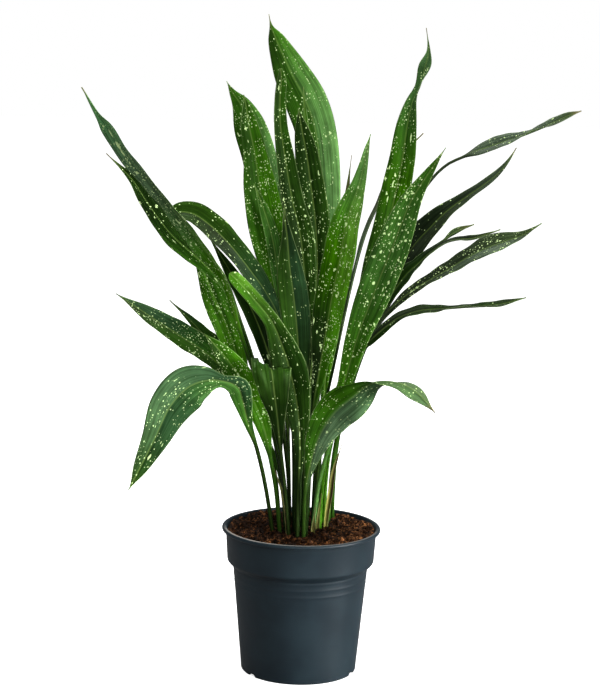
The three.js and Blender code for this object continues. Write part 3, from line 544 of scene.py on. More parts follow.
def spline(knots, places, runs_on):
    """The smooth curve through knots, read at places counted in knots from 0.

    Between two knots it is the cubic whose slope at each is half the step between that knot's
    neighbours. Past the ends the curve runs straight on, or the end knot is repeated.
    """
    knots = np.asarray(knots, float)
    first = 2 * knots[:1] - knots[1:2] if runs_on else knots[:1]
    final = 2 * knots[-1:] - knots[-2:-1] if runs_on else knots[-1:]
    padded = np.concatenate([first, knots, final])
    step = np.clip(np.floor(places).astype(int), 0, len(knots) - 2)
    share = np.clip(places - step, 0, 1)
    share = share.reshape(share.shape + (1,) * (knots.ndim - 1))
    before, here, ahead, after = (padded[step + i] for i in range(4))
    rise = 0.5 * (ahead - before)
    leave = 0.5 * (after - here)
    jump = ahead - here
    return here + share * (rise + share * (3 * jump - 2 * rise - leave
                                           + share * (rise + leave - 2 * jump)))


def unit(vectors):
    """The same directions with a length of 1."""
    return vectors / np.linalg.norm(vectors, axis=-1, keepdims=True)


def turn_about(vectors, axes, angles):
    """Each vector turned about its own unit axis by its own angle: the part along the axis stays, and
    the rest turns in its plane."""
    cosine = np.cos(angles)[:, None]
    sine = np.sin(angles)[:, None]
    lengthwise = (vectors * axes).sum(1, keepdims=True) * axes
    return vectors * cosine + np.cross(axes, vectors) * sine + lengthwise * (1 - cosine)


def full_turn(count):
    """That many angles spread evenly over a full turn, in radians."""
    return 2 * math.pi * np.arange(count) / count


def in_scene(name, data):
    """A new object of the scene that holds the data."""
    made = bpy.data.objects.new(name, data)
    bpy.context.scene.collection.objects.link(made)
    return made


def mesh_object(name, points, faces):
    """A new mesh from points in millimetres and the faces between them."""
    mesh = bpy.data.meshes.new(name)
    mesh.from_pydata((np.asarray(points, float) * MM).tolist(), [], faces)
    return in_scene(name, mesh)


def new_piece(name, points, faces, material, replaced=()):
    """A smooth mesh with its material, riding on the plant's one body."""
    piece = mesh_object(name, points, faces)
    piece.data.materials.append(material)
    piece.data.shade_smooth()
    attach(piece, BODY)
    if replaced:
        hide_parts(*replaced)
    return piece


def grid_faces(rows, columns, flip=False):
    """Four-sided faces of a grid of rows whose last column joins the first."""
    row, column = np.meshgrid(np.arange(rows - 1), np.arange(columns), indexing="ij")
    across = (column + 1) % columns
    corners = [row * columns + column, row * columns + across,
               (row + 1) * columns + across, (row + 1) * columns + column]
    if flip:
        corners.reverse()
    return np.stack([corner.ravel() for corner in corners], axis=1)


def closed_faces(rings, count):
    """Faces of a row of rings, closed at each end by a fan round a pole. The two poles are the points
    that come after the rings' own."""
    first_pole = rings * count
    final_pole = first_pole + 1
    top = first_pole - count
    turn = [(here, (here + 1) % count) for here in range(count)]
    faces = grid_faces(rings, count).tolist()
    faces += [(first_pole, after, here) for here, after in turn]
    faces += [(final_pole, top + here, top + after) for here, after in turn]
    return faces


def set_values(piece, name, values, kind="FLOAT_VECTOR", part="vector"):
    """A named value on each of the piece's points, for its material to read."""
    attribute = piece.data.attributes.new(name, kind, "POINT")
    attribute.data.foreach_set(part, np.asarray(values, np.float32).ravel())


# Leaves and sheaths


def blade_section(leaf, number, width, blade, across):
    """Height of the upper face and of the lower one, by place along the blade and across it.

    Upper face: the fold's rise in proportion to the place, a low arch over each half, long shallow
    pleats, waves that grow towards the margins, less a groove at the midrib, and crossed waves where
    an end is crinkled. The lower face lies one blade's thickness under it, rounded off at the margins,
    with the midrib's keel below. The leaf's number shifts its waves, so that no two are alike.
    """
    place = np.abs(across)[None, :]
    width = width[:, None]
    blade = blade[:, None]
    middle = np.sin(np.pi * blade)
    rise = 0.5 * width * np.sin(math.radians(leaf["fold"])) * place
    arch = 4 * CAMBER * width * place * (1 - place)
    waves = 2 * math.pi * (WAVES * blade + WAVE_SHIFT * number)
    ruffles = 2 * math.pi * (RUFFLES * blade + WAVE_LAG * number)
    lag = np.where(across > 0, WAVE_LAG, 0)[None, :]
    wave = leaf["wave"] * middle * (np.sin(waves + lag) * place ** 1.5
                                    + RUFFLE_HEIGHT * np.sin(ruffles + 2 * lag) * place ** 4)
    crinkle = leaf["crinkle"] * smooth(*CRINKLE_START, blade) * sum(
        height * np.sin(2 * math.pi * (over * across[None, :] + along * blade))
        for over, along, height in CRINKLES)
    at_rib = np.exp(-(across[None, :] * width / 2 / GROOVE_WIDTH) ** 2)
    pleats = (PLEAT_DEPTH * middle * np.sin(2 * math.pi * PLEATS * place + number)
              * smooth(*PLEAT_START, place))
    upper = rise + arch + wave + crinkle + pleats - GROOVE_DEPTH * at_rib + BLADE_HALF_THICKNESS
    keel = (mix(KEEL, BLADE_HALF_THICKNESS, blade) - BLADE_HALF_THICKNESS + GROOVE_DEPTH) * at_rib
    thickness = 2 * BLADE_HALF_THICKNESS * np.sqrt(1 - place ** 6)
    return upper, upper - thickness - keel


def leaf_stations(leaf, total, blade_start):
    """Distances along the leaf at which its rings lie, wide apart on the stalk and close on the blade."""
    stalk_rings = max(FEWEST_STALK_RINGS, round(blade_start / STALK_STEP)) if blade_start else 0
    blade_rings = max(FEWEST_BLADE_RINGS, round((total - blade_start) / BLADE_STEP))
    stations = np.concatenate([np.linspace(0, blade_start, stalk_rings, endpoint=False),
                               np.linspace(blade_start, total, blade_rings)])
    if leaf["round_end"]:
        end_rings = total - leaf["round_end"] * np.array(ROUND_END_RINGS)
        stations = np.sort(np.append(stations, end_rings))
    return stations


def leaf_axes(leaf, rib, places, blade):
    """The rib's points at those places, and there the unit directions across the leaf and out of its
    face: square to the rib, facing the front or bent over backwards, and turned by the leaf's turns."""
    nudge = 1e-3
    last = len(rib) - 1
    centre = spline(rib, places, True)
    ahead = unit(spline(rib, np.minimum(places + nudge, last), True)
                 - spline(rib, np.maximum(places - nudge, 0), True))
    if leaf["bends_back"]:
        right = np.array([1.0, 0, 0])
        across = unit(right - (ahead @ right)[:, None] * ahead)
        face = np.cross(across, ahead)
    else:
        front = np.array([0, -1.0, 0])
        face = unit(front - (ahead @ front)[:, None] * ahead)
        across = np.cross(ahead, face)
    turns = np.radians(spline(leaf["turns"], blade * (len(leaf["turns"]) - 1), False))
    return centre, turn_about(across, ahead, turns), turn_about(face, ahead, turns)


def leaf_points(leaf, number):
    """A leaf's rings of points. With them, for each ring its distance from the foot, its share of the
    blade and its width, and for each point of a ring its place across, from -1 to 1.

    A ring runs over the upper face from the left margin to the right one and back below. It is the
    stalk's circle where the blade hasn't opened, and the blade's section where it has, blended
    between.
    """
    rib = np.array([(*leaf["foot"], FOOT_DEPTH), *leaf["rib"]], float)
    last = len(rib) - 1
    stalk = leaf["stalk"]
    stalk_end = last - len(leaf["widths"])
    samples = np.linspace(0, last, RIB_SAMPLES + 1)
    steps = np.linalg.norm(np.diff(spline(rib, samples, True), axis=0), axis=1)
    lengths = np.concatenate([[0], np.cumsum(steps)])
    total = lengths[-1]
    blade_start = lengths[round(RIB_SAMPLES * stalk_end / last)]
    stations = leaf_stations(leaf, total, blade_start)
    places = np.interp(stations, lengths, samples)
    blade = np.clip((stations - blade_start) / (total - blade_start), 0, 1)
    centre, across, face = leaf_axes(leaf, rib, places, blade)

    widths = [STALK_FLATTENING * stalk] * (stalk_end + 1) + leaf["widths"]
    width = np.maximum(TIP_WIDTH, spline(widths, places, False))
    if leaf["round_end"]:
        left_over = np.clip((total - stations) / leaf["round_end"], 0, 1)
        width = np.maximum(TIP_WIDTH, width * np.sqrt(1 - (1 - left_over) ** 2))
    opening = smooth(0, OPENING, blade)[:, None]
    over = np.linspace(-1, 1, COLUMNS)
    under = over[-2:0:-1]
    upper = blade_section(leaf, number, width, blade, over)[0]
    lower = blade_section(leaf, number, width, blade, under)[1]
    blade_height = np.concatenate([upper, lower], axis=1)
    place = np.concatenate([over, under])
    above = np.where(np.arange(len(place)) < COLUMNS, 1, -1)
    round_height = stalk * np.cos(np.pi * place / 2) * above
    sides = mix(np.sin(np.pi * place / 2)[None, :], place[None, :], opening)
    folded = np.cos(math.radians(leaf["fold"]) * opening)
    reach = np.maximum(0.5 * width[:, None] * folded, stalk * (1 - opening)) * sides
    height = mix(round_height[None, :], blade_height, opening)
    points = (centre[:, None] + reach[:, :, None] * across[:, None]
              + height[:, :, None] * face[:, None])
    return points, stations, blade, width, place


def streak_field(name, stations, blade, place, width):
    """For each point, 1 less its distance from the nearest streak's middle, where the distance is
    counted in the streak's own half length along the leaf and half width across it."""
    field = np.full((len(blade), len(place)), -1.0)
    for share, across, half_length, half_width in STREAKS.get(name, ()):
        middle = np.interp(share, blade, stations)
        along = (stations[:, None] - middle) / half_length
        over = (place[None, :] - across) * width[:, None] / 2 / half_width
        field = np.maximum(field, 1 - np.hypot(along, over))
    return field


def leaf_colour(tones, stations, blade, place):
    """Red, green, blue and alpha of each point: the stalk's tones up to the blade, then each half's own
    tones, blended at the midrib."""
    stalk, left, right = (np.array([paint(TONES[tone]) for tone in part.split()]) for part in tones)
    foot = stations / max(stations[np.argmax(blade > 0) - 1], STALK_STEP)
    low = spline(stalk, np.clip(foot, 0, 1) * (len(stalk) - 1), False)
    halves = [spline(half, blade * (len(half) - 1), False) for half in (left, right)]
    share = smooth(-MIDRIB_BLEND, MIDRIB_BLEND, place)[None, :, None]
    blades = mix(halves[0][:, None], halves[1][:, None], share)
    start = smooth(*BLADE_TONES_START, blade)[:, None, None]
    return np.moveaxis(np.clip(mix(low[:, None], blades, start), 0, 1), 2, 0)


def make_leaf(leaf, number, material):
    """One leaf with its stalk, or one sheath, in place of its solid.

    Its material reads four values from each point. The place: across and along in metres, and across
    from -1 to 1. The marks: how many fine speckles and blotches, and how dry. The details: how far the
    blade has opened, whether this is its underside, and the nearness of a streak. And the tone.
    """
    points, stations, blade, width, place = leaf_points(leaf, number)
    rings, count = points.shape[:2]
    poles = points[[0, -1]].mean(axis=1)
    piece = new_piece(leaf["name"] + "_fine", np.concatenate([points.reshape(-1, 3), poles]),
                      closed_faces(rings, count), material, [leaf["name"]])

    def on_points(*fields):
        """A row of the fields' values for each point, with the poles like the first and last point."""
        rows = np.stack([np.broadcast_to(field, (rings, count)) for field in fields], axis=2)
        rows = rows.reshape(rings * count, len(fields))
        return np.concatenate([rows, rows[[0, -1]]])

    *tones, fine, large = LOOKS[leaf["name"]]
    across = place * width[:, None] * MM / 2
    along = stations[:, None] * MM + PATTERN_SPACING * number
    opened = smooth(*SPECKLES_START, blade)[:, None]
    total = stations[-1]
    dried = smooth(total - DRY_START, total - DRY_FULL, stations)[:, None] * (leaf["name"] in DRY_TIPS)
    underside = opened * (np.arange(count) >= COLUMNS)
    streaks = streak_field(leaf["name"], stations, blade, place, width)
    colour = leaf_colour(tones, stations, blade, place)
    set_values(piece, "leaf_place", on_points(across, along, place))
    set_values(piece, "leaf_marks", on_points(fine * opened, large * opened, dried))
    set_values(piece, "leaf_details", on_points(opened, underside, streaks))
    set_values(piece, "leaf_tone", on_points(*colour), "FLOAT_COLOR", "color")


# Pot


def rounded(corners):
    """An outline from corners and their radii. A corner with a radius gives way to a short curve that
    starts and ends that far from it: a quadratic with the corner as its middle control point."""
    outline = np.array([corner for corner, radius in corners], float)
    share = np.linspace(0, 1, CORNER_POINTS)[:, None]
    pieces = []
    for i, corner in enumerate(outline):
        radius = corners[i][1]
        if radius == 0:
            pieces.append(corner[None])
            continue
        before = outline[i - 1] - corner
        after = outline[i + 1] - corner
        start = corner + before * min(0.5, radius / np.linalg.norm(before))
        end = corner + after * min(0.5, radius / np.linalg.norm(after))
        pieces.append((1 - share) ** 2 * start + 2 * share * (1 - share) * corner + share ** 2 * end)
    return np.concatenate(pieces)


def body_radius(height):
    """The outer wall's radius below the shoulder, which grows evenly with the height."""
    return mix(BODY_LOW_RADIUS, BODY_TOP_RADIUS, (height - BODY_LOW) / (BODY_TOP - BODY_LOW))


def inner_radius(height):
    """The inner wall, one wall's thickness inside the outer one."""
    heights = (BODY_LOW, SHOULDER_LOW, COLLAR_LOW, POT_HEIGHT - RIM_BEAD)
    radii = (BODY_LOW_RADIUS, body_radius(SHOULDER_LOW), COLLAR_LOW_RADIUS, COLLAR_TOP_RADIUS)
    return float(np.interp(height, heights, radii)) - WALL


def pot_profile():
    """The pot's outline from the underside's middle, up outside, over the rim and down inside. Each
    corner has the distance over which it is rounded. A rib swells out as a bell curve."""
    bead_low = POT_HEIGHT - RIM_BEAD
    floor_top = CHANNEL_HEIGHT + FLOOR_THICKNESS
    ribs_low = STACKING_RIBS[0] - RIB_REACH
    corners = [
        ((0, 0), 0), ((CHANNEL_RADIUS, 0), 1), ((CHANNEL_RADIUS + CHANNEL_HEIGHT, CHANNEL_HEIGHT), 1),
        ((FOOT_RADIUS - FOOT_WIDTH, CHANNEL_HEIGHT), 0.8), ((FOOT_RADIUS - FOOT_WIDTH, 0), 0.6),
        ((FOOT_RADIUS, 0), 0.8), ((FOOT_RADIUS + FOOT_CHAMFER, FOOT_CHAMFER), 0.8),
        ((BODY_LOW_RADIUS, BODY_LOW), 1),
    ]
    for height in np.arange(BODY_LOW + BODY_STEP, ribs_low, BODY_STEP):
        corners.append(((body_radius(height), height), 0))
    for height in np.arange(ribs_low, SHOULDER_LOW - SHOULDER_STEP, RIB_STEP):
        swell = sum(math.exp(-((height - rib) / RIB_HALF_HEIGHT) ** 2) for rib in STACKING_RIBS)
        corners.append(((body_radius(height) + RIB_PROUD * swell, height), 0))
    corners += [
        ((SHOULDER_RADIUS, SHOULDER_LOW), 0.3),
        ((COLLAR_LOW_RADIUS - COLLAR_CHAMFER_WIDTH, COLLAR_LOW - COLLAR_CHAMFER_HEIGHT), 1.4),
        ((COLLAR_LOW_RADIUS, COLLAR_LOW), 0.8),
        ((COLLAR_TOP_RADIUS, bead_low), 0.7), ((RIM_RADIUS - RIM_BEVEL, bead_low), 0.8),
        ((RIM_RADIUS, bead_low + RIM_BEVEL), 1), ((RIM_RADIUS, POT_HEIGHT - RIM_BEVEL), 1),
        ((RIM_RADIUS - RIM_BEVEL, POT_HEIGHT), 1),
        ((RIM_RADIUS - RIM_BEVEL - RIM_TOP_WIDTH, POT_HEIGHT), 0.9),
        ((inner_radius(bead_low), bead_low), 1), ((inner_radius(COLLAR_LOW), COLLAR_LOW), 1),
        ((inner_radius(SHOULDER_LOW), SHOULDER_LOW), 1),
        ((inner_radius(floor_top + FLOOR_CORNER), floor_top + FLOOR_CORNER), 1),
        ((inner_radius(floor_top) - SOIL_CORNER, floor_top), 0.8),
        ((CHANNEL_RADIUS + CHANNEL_HEIGHT - CHANNEL_SETBACK, floor_top), 1),
        ((CHANNEL_RADIUS - CHANNEL_SETBACK, FLOOR_THICKNESS), 1), ((0, FLOOR_THICKNESS), 0),
    ]
    return rounded(corners)


def make_pot(material):
    """The nursery pot: its profile turned about the axis, its foot raised in rounded notches, and its
    drain holes cut through the floor. Notch angles count from the front."""
    profile = pot_profile()
    angles = full_turn(POT_TURNS)
    ring = profile[1:-1]
    radius = np.broadcast_to(ring[:, None, 0], (len(ring), POT_TURNS))
    height = np.broadcast_to(ring[:, None, 1], (len(ring), POT_TURNS)).copy()
    lift = np.zeros(POT_TURNS)
    half = NOTCH_WIDTH / 2
    for degrees in NOTCH_ANGLES:
        away = np.angle(np.exp(1j * (angles - math.radians(degrees - 90)))) * FOOT_RADIUS
        lift = np.maximum(lift, 1 - smooth(half - NOTCH_EASE, half + NOTCH_EASE, np.abs(away)))
    low = (height < NOTCH_HEIGHT) & (radius > DRAIN_CIRCLE + DRAIN_RADIUS) & (radius < BODY_LOW_RADIUS)
    low &= np.arange(len(ring))[:, None] < len(ring) // 2
    height += low * (NOTCH_HEIGHT - height) * lift[None, :]
    points = np.stack([radius * np.cos(angles), radius * np.sin(angles), height], axis=2)
    poles = [(0, 0, profile[0, 1]), (0, 0, profile[-1, 1])]
    pot = new_piece("nursery_pot", np.concatenate([points.reshape(-1, 3), poles]),
                    closed_faces(len(ring), POT_TURNS), material, ["pot"])
    cut_drain_holes(pot)
    pot.data.shade_smooth()
    pot.data.set_sharp_from_angle(angle=math.radians(SHARP_ANGLE))


def cut_drain_holes(pot):
    """Round holes through the floor, taken out by one cutter of closed drums. Points that the cut leaves
    in the same place are merged."""
    angles = full_turn(DRAIN_SIDES)
    points = []
    faces = []
    for turn in full_turn(DRAIN_HOLES):
        start = len(points)
        for height in DRAIN_CUT_HEIGHTS:
            points += [(DRAIN_CIRCLE * math.cos(turn) + DRAIN_RADIUS * math.cos(angle),
                        DRAIN_CIRCLE * math.sin(turn) + DRAIN_RADIUS * math.sin(angle), height)
                       for angle in angles]
        faces += (grid_faces(2, DRAIN_SIDES) + start).tolist()
        faces.append([start + k for k in range(DRAIN_SIDES - 1, -1, -1)])
        faces.append([start + DRAIN_SIDES + k for k in range(DRAIN_SIDES)])
    cutter = mesh_object("drain_cutter", points, faces)
    cut = pot.modifiers.new("drain_holes", "BOOLEAN")
    cut.operation = "DIFFERENCE"
    cut.solver = "EXACT"
    cut.object = cutter
    bpy.context.view_layer.update()
    finished = bpy.data.meshes.new_from_object(pot.evaluated_get(bpy.context.evaluated_depsgraph_get()))
    pot.modifiers.clear()
    pot.data = finished
    bpy.data.objects.remove(cutter)
    merged = bmesh.new()
    merged.from_mesh(finished)
    bmesh.ops.remove_doubles(merged, verts=merged.verts, dist=MERGE_DISTANCE * MM)
    merged.to_mesh(finished)
    merged.free()


# Peat


def value_noise(x, y, size, rng):
    """Smooth noise from -1 to 1: random heights on a square lattice of that size, eased between."""
    lattice = rng.uniform(-1, 1, (LATTICE, LATTICE))
    across, up = x / size + LATTICE // 2, y / size + LATTICE // 2
    column, row = np.floor(across).astype(int), np.floor(up).astype(int)
    right, above = smooth(0, 1, across - column), smooth(0, 1, up - row)

    def heights(further_up):
        line = (row + further_up) % LATTICE
        return mix(lattice[line, column % LATTICE], lattice[line, (column + 1) % LATTICE], right)

    return mix(heights(0), heights(1), above)


def soil_height(x, y):
    """The peat's surface: the solid's gentle lumps and its rise to the wall with the square of the
    distance from the axis, and coarse crumb on top."""
    lumps = (np.sin(LUMP_ACROSS * x + LUMP_ACROSS_SHIFT) * np.cos(LUMP_BACK * y + LUMP_BACK_SHIFT)
             + LUMP_SLANT_HEIGHT * np.sin(LUMP_SLANT[0] * x + LUMP_SLANT[1] * y))
    rise = SOIL_EDGE_RISE * (x * x + y * y) / (COLLAR_TOP_RADIUS * COLLAR_TOP_RADIUS)
    rng = np.random.default_rng(SURFACE_SEED)
    crumb = sum(height * value_noise(x, y, size, rng) for size, height in CRUMB_LAYERS)
    return SOIL_LEVEL + rise + SOIL_ROUGHNESS * lumps + crumb


def make_soil(material):
    """The peat that fills the pot: rings up its side and in over its crumbly top."""
    low = FLOOR_THICKNESS + GAP
    bottom = CHANNEL_HEIGHT + low
    centre = CHANNEL_RADIUS - FLOOR_THICKNESS
    sides = [(centre, low), (centre + CHANNEL_HEIGHT, bottom),
             (inner_radius(bottom) - GAP - SOIL_CORNER, bottom)]
    sides += [(inner_radius(height) - GAP, height)
              for height in (bottom + FLOOR_CORNER, SHOULDER_LOW, COLLAR_LOW)]
    edge = inner_radius(SOIL_LEVEL) - GAP - SOIL_BEVEL
    inwards = np.linspace(edge, SOIL_INNERMOST, SOIL_RINGS)
    radius = np.concatenate([[reach for reach, height in sides], inwards])
    angles = full_turn(SOIL_TURNS)
    x = radius[:, None] * np.cos(angles)
    y = radius[:, None] * np.sin(angles)
    height = soil_height(x, y)
    height[:len(sides)] = [[level] for reach, level in sides]
    points = np.stack([x, y, height], axis=2).reshape(-1, 3)
    poles = [(0, 0, low), (0, 0, height[-1].mean())]
    new_piece("peat", np.concatenate([points, poles]), closed_faces(len(radius), SOIL_TURNS),
              material, ["soil"])


def soil_places(count, rng, edge):
    """Random places on the peat as far from the axis as the edge. The square root of a random share as
    their radius spreads them evenly."""
    radius = edge * np.sqrt(rng.uniform(0, 1, count))
    angle = rng.uniform(0, 2 * math.pi, count)
    x, y = radius * np.cos(angle), radius * np.sin(angle)
    return np.stack([x, y, soil_height(x, y)], axis=1)


def make_crumbs(material):
    """Loose crumbs of peat and bark: dented balls of many sizes, part sunk in the surface."""
    rng = np.random.default_rng(CRUMB_SEED)
    polar, around = np.meshgrid(np.linspace(0, np.pi, CRUMB_RINGS + 2)[1:-1], full_turn(CRUMB_TURNS),
                                indexing="ij")
    ball = np.stack([np.sin(polar) * np.cos(around), np.sin(polar) * np.sin(around), -np.cos(polar)],
                    axis=2).reshape(-1, 3)
    ball = np.concatenate([ball, [(0, 0, -1), (0, 0, 1)]])
    faces = closed_faces(CRUMB_RINGS, CRUMB_TURNS)
    sizes = rng.lognormal(math.log(CRUMB_SIZE), CRUMB_SPREAD, CRUMBS).clip(*CRUMB_LIMITS)
    shape = rng.uniform(*CRUMB_STRETCH, (CRUMBS, 1, 3)) * sizes[:, None, None]
    dents = rng.uniform(*CRUMB_DENTS, (CRUMBS, len(ball), 1))
    spin = rng.uniform(0, 2 * math.pi, CRUMBS)
    local = ball[None] * dents * shape
    cosine, sine = np.cos(spin)[:, None], np.sin(spin)[:, None]
    local = np.stack([local[..., 0] * cosine - local[..., 1] * sine,
                      local[..., 0] * sine + local[..., 1] * cosine, local[..., 2]], axis=2)
    places = soil_places(CRUMBS, rng, CRUMB_EDGE)
    places[:, 2] += CRUMB_RAISE * sizes
    points = (local + places[:, None]).reshape(-1, 3)
    all_faces = [[corner + i * len(ball) for corner in face] for i in range(CRUMBS) for face in faces]
    piece = new_piece("peat_crumbs", points, all_faces, material)
    set_values(piece, "grain_shade", np.repeat(rng.uniform(0, 1, CRUMBS), len(ball)), "FLOAT", "value")


def make_fibres(material):
    """Coarse fibres in the peat: thin tapered tubes along short bent arcs that lie on the surface."""
    rng = np.random.default_rng(FIBRE_SEED)
    share = np.linspace(-0.5, 0.5, FIBRE_STEPS)
    length = rng.uniform(*FIBRE_LENGTH, FIBRES)
    heading = rng.uniform(0, 2 * math.pi, FIBRES)
    bend = rng.uniform(*FIBRE_BEND, FIBRES)
    thick = rng.uniform(*FIBRE_RADIUS, FIBRES)
    middle = soil_places(FIBRES, rng, FIBRE_EDGE)
    angle = heading[:, None] + bend[:, None] * share[None, :]
    x = middle[:, None, 0] + length[:, None] * share * np.cos(angle)
    y = middle[:, None, 1] + length[:, None] * share * np.sin(angle)
    z = soil_height(x, y) + FIBRE_RAISE + rng.uniform(*FIBRE_LIFT, FIBRES)[:, None]
    line = np.stack([x, y, z], axis=2)
    ahead = unit(np.gradient(line, axis=1))
    flat = unit(np.cross(ahead, np.array([0, 0, 1.0])))
    rise = np.cross(flat, ahead)
    around = full_turn(FIBRE_SIDES)
    taper = np.sqrt(1 - (FIBRE_TAPER * share) ** 2)[None, :, None, None] * thick[:, None, None, None]
    tube = line[:, :, None] + taper * (np.cos(around)[:, None] * flat[:, :, None]
                                      + np.sin(around)[:, None] * rise[:, :, None])
    one = grid_faces(FIBRE_STEPS, FIBRE_SIDES, flip=True)
    size = FIBRE_STEPS * FIBRE_SIDES
    faces = (one[None] + size * np.arange(FIBRES)[:, None, None]).reshape(-1, 4).tolist()
    for i in range(FIBRES):
        faces.append([i * size + k for k in range(FIBRE_SIDES)])
        faces.append([i * size + size - 1 - k for k in range(FIBRE_SIDES)])
    piece = new_piece("peat_fibres", tube.reshape(-1, 3), faces, material)
    set_values(piece, "grain_shade", np.repeat(rng.uniform(*FIBRE_SHADE, FIBRES), size), "FLOAT", "value")


# Building blocks of materials


def feed(tree, socket, source):
    """Links a socket to another one, or sets it to a plain number or a #rrggbb colour."""
    if isinstance(source, bpy.types.NodeSocket):
        tree.links.new(source, socket)
    else:
        socket.default_value = paint(source) if isinstance(source, str) else source


def add(tree, kind, inputs=None, **settings):
    """A shader node with its settings, and what feeds its inputs."""
    made = tree.nodes.new(kind)
    for name, value in settings.items():
        setattr(made, name, value)
    for socket, source in (inputs or {}).items():
        feed(tree, made.inputs[socket], source)
    return made


def calc(tree, operation, *operands):
    """One step of arithmetic on sockets and plain numbers."""
    return add(tree, "ShaderNodeMath", dict(enumerate(operands)), operation=operation).outputs[0]


def times(tree, first, second):
    """The product of two sockets or plain numbers."""
    return calc(tree, "MULTIPLY", first, second)


def ramp(tree, value, span, onto=(0, 1)):
    """The value carried smoothly from one span onto another, and held at its ends."""
    return add(tree, "ShaderNodeMapRange", {0: value, 1: span[0], 2: span[1], 3: onto[0], 4: onto[1]},
               interpolation_type="SMOOTHSTEP").outputs[0]


def tint(tree, factor, under, over):
    """The colour over laid on the colour under, by factor."""
    return add(tree, "ShaderNodeMix", {0: factor, 6: under, 7: over}, data_type="RGBA").outputs[2]


def lit(tree, colour, light):
    """The colour made lighter or darker by a factor."""
    return add(tree, "ShaderNodeVectorMath", {0: colour, 1: light}, operation="MULTIPLY").outputs[0]


def distance(tree, where):
    """How far a place is from the scene's origin."""
    return add(tree, "ShaderNodeVectorMath", {0: where}, operation="LENGTH").outputs["Value"]


def noise(tree, where, scale, detail, roughness=0.5, dimensions="3D"):
    """Clouds from 0 to 1: scale of them to one unit of where, with detail finer layers."""
    return add(tree, "ShaderNodeTexNoise",
               {"Vector": where, "Scale": scale, "Detail": detail, "Roughness": roughness},
               noise_dimensions=dimensions).outputs[0]


def joined(tree, x, y):
    """The place with that x and y, at no height."""
    return add(tree, "ShaderNodeCombineXYZ", {0: x, 1: y}).outputs[0]


def parts(tree, vector):
    """The three numbers of a vector."""
    return add(tree, "ShaderNodeSeparateXYZ", {0: vector}).outputs


def read(tree, name, kind):
    """A value that set_values has put on the piece's points."""
    return add(tree, "ShaderNodeAttribute", attribute_name=name, attribute_type="GEOMETRY").outputs[kind]


def object_place(tree):
    """The point's own place in metres."""
    return add(tree, "ShaderNodeTexCoord").outputs["Object"]


def new_group(name, inputs, outputs):
    """An empty node group of plain values, and its inputs and outputs by name."""
    group = bpy.data.node_groups.new(name, "ShaderNodeTree")
    for labels, direction in ((inputs, "INPUT"), (outputs, "OUTPUT")):
        for label in labels:
            group.interface.new_socket(label, in_out=direction, socket_type="NodeSocketFloat")
    return group, group.nodes.new("NodeGroupInput").outputs, group.nodes.new("NodeGroupOutput").inputs


def new_material(name):
    """An empty material, its nodes and its shader."""
    material = bpy.data.materials.new(name)
    material.use_nodes = True
    tree = material.node_tree
    return material, tree, tree.nodes["Principled BSDF"]


def surface(tree, shader, colour, roughness, specular, height, strength, depth):
    """Gives the shader its colour, roughness and specular level, and a bump of that strength from a
    height that stands for depth metres."""
    bump = add(tree, "ShaderNodeBump", {"Strength": strength, "Distance": depth, "Height": height})
    feed(tree, shader.inputs["Base Color"], colour)
    feed(tree, shader.inputs["Roughness"], roughness)
    feed(tree, shader.inputs["Specular IOR Level"], specular)
    feed(tree, shader.inputs["Normal"], bump.outputs[0])


# Materials


def speckle_group():
    """Cream flecks of one kind: cells on the leaf, of which a share by density holds a spot, each of
    its own size, with ragged outlines and clustered along the leaf."""
    group, given, made = new_group(
        "speckles", ("Across", "Along", "Density", "Cells", "Stretch", "Largest", "Ragged"), ("Mask",))
    across = times(group, given["Across"], given["Cells"])
    along = times(group, given["Along"], times(group, given["Cells"], given["Stretch"]))
    where = joined(group, across, along)
    cell = add(group, "ShaderNodeTexVoronoi", {"Vector": where, "Scale": 1, "Randomness": 0.95},
               voronoi_dimensions="2D")
    chance = add(group, "ShaderNodeSeparateColor", {0: cell.outputs["Color"]}).outputs
    crowd = ramp(group, noise(group, where, CLUSTER_SCALE, detail=1, dimensions="2D"), CLUSTERS,
                 CLUSTER_SHARES)
    there = calc(group, "LESS_THAN", chance[0], times(group, given["Density"], crowd))
    size = calc(group, "POWER", chance[1], 2)
    radius = calc(group, "MULTIPLY_ADD", size, given["Largest"], SPOT_SMALLEST)
    waves = noise(group, where, OUTLINE_WAVES, detail=2, dimensions="2D")
    outline = times(group, calc(group, "SUBTRACT", waves, 0.5), given["Ragged"])
    away = calc(group, "ADD", cell.outputs["Distance"], outline)
    spot = ramp(group, calc(group, "SUBTRACT", radius, away), (0, SPOT_SOFTNESS))
    feed(group, made["Mask"], times(group, spot, there))
    return group


def vein_group():
    """Lines along the leaf: fine even veins and broader uneven stripes, counted across each half, so
    that they close in towards the tip."""
    group, given, made = new_group("veins", ("Place", "Along"), ("Stripes", "Height"))

    def lines(across, along, **look):
        where = joined(group, times(group, given["Place"], across), times(group, given["Along"], along))
        return noise(group, where, scale=1, dimensions="2D", **look)

    broad = lines(across=5.5, along=6, detail=3, roughness=0.65)
    narrow = lines(across=26, along=9, detail=1)
    narrow_share = 0.4
    both = calc(group, "MULTIPLY_ADD", narrow, narrow_share, times(group, broad, 1 - narrow_share))
    feed(group, made["Stripes"], ramp(group, both, STRIPE_NOISE))
    feed(group, made["Height"], both)
    return group


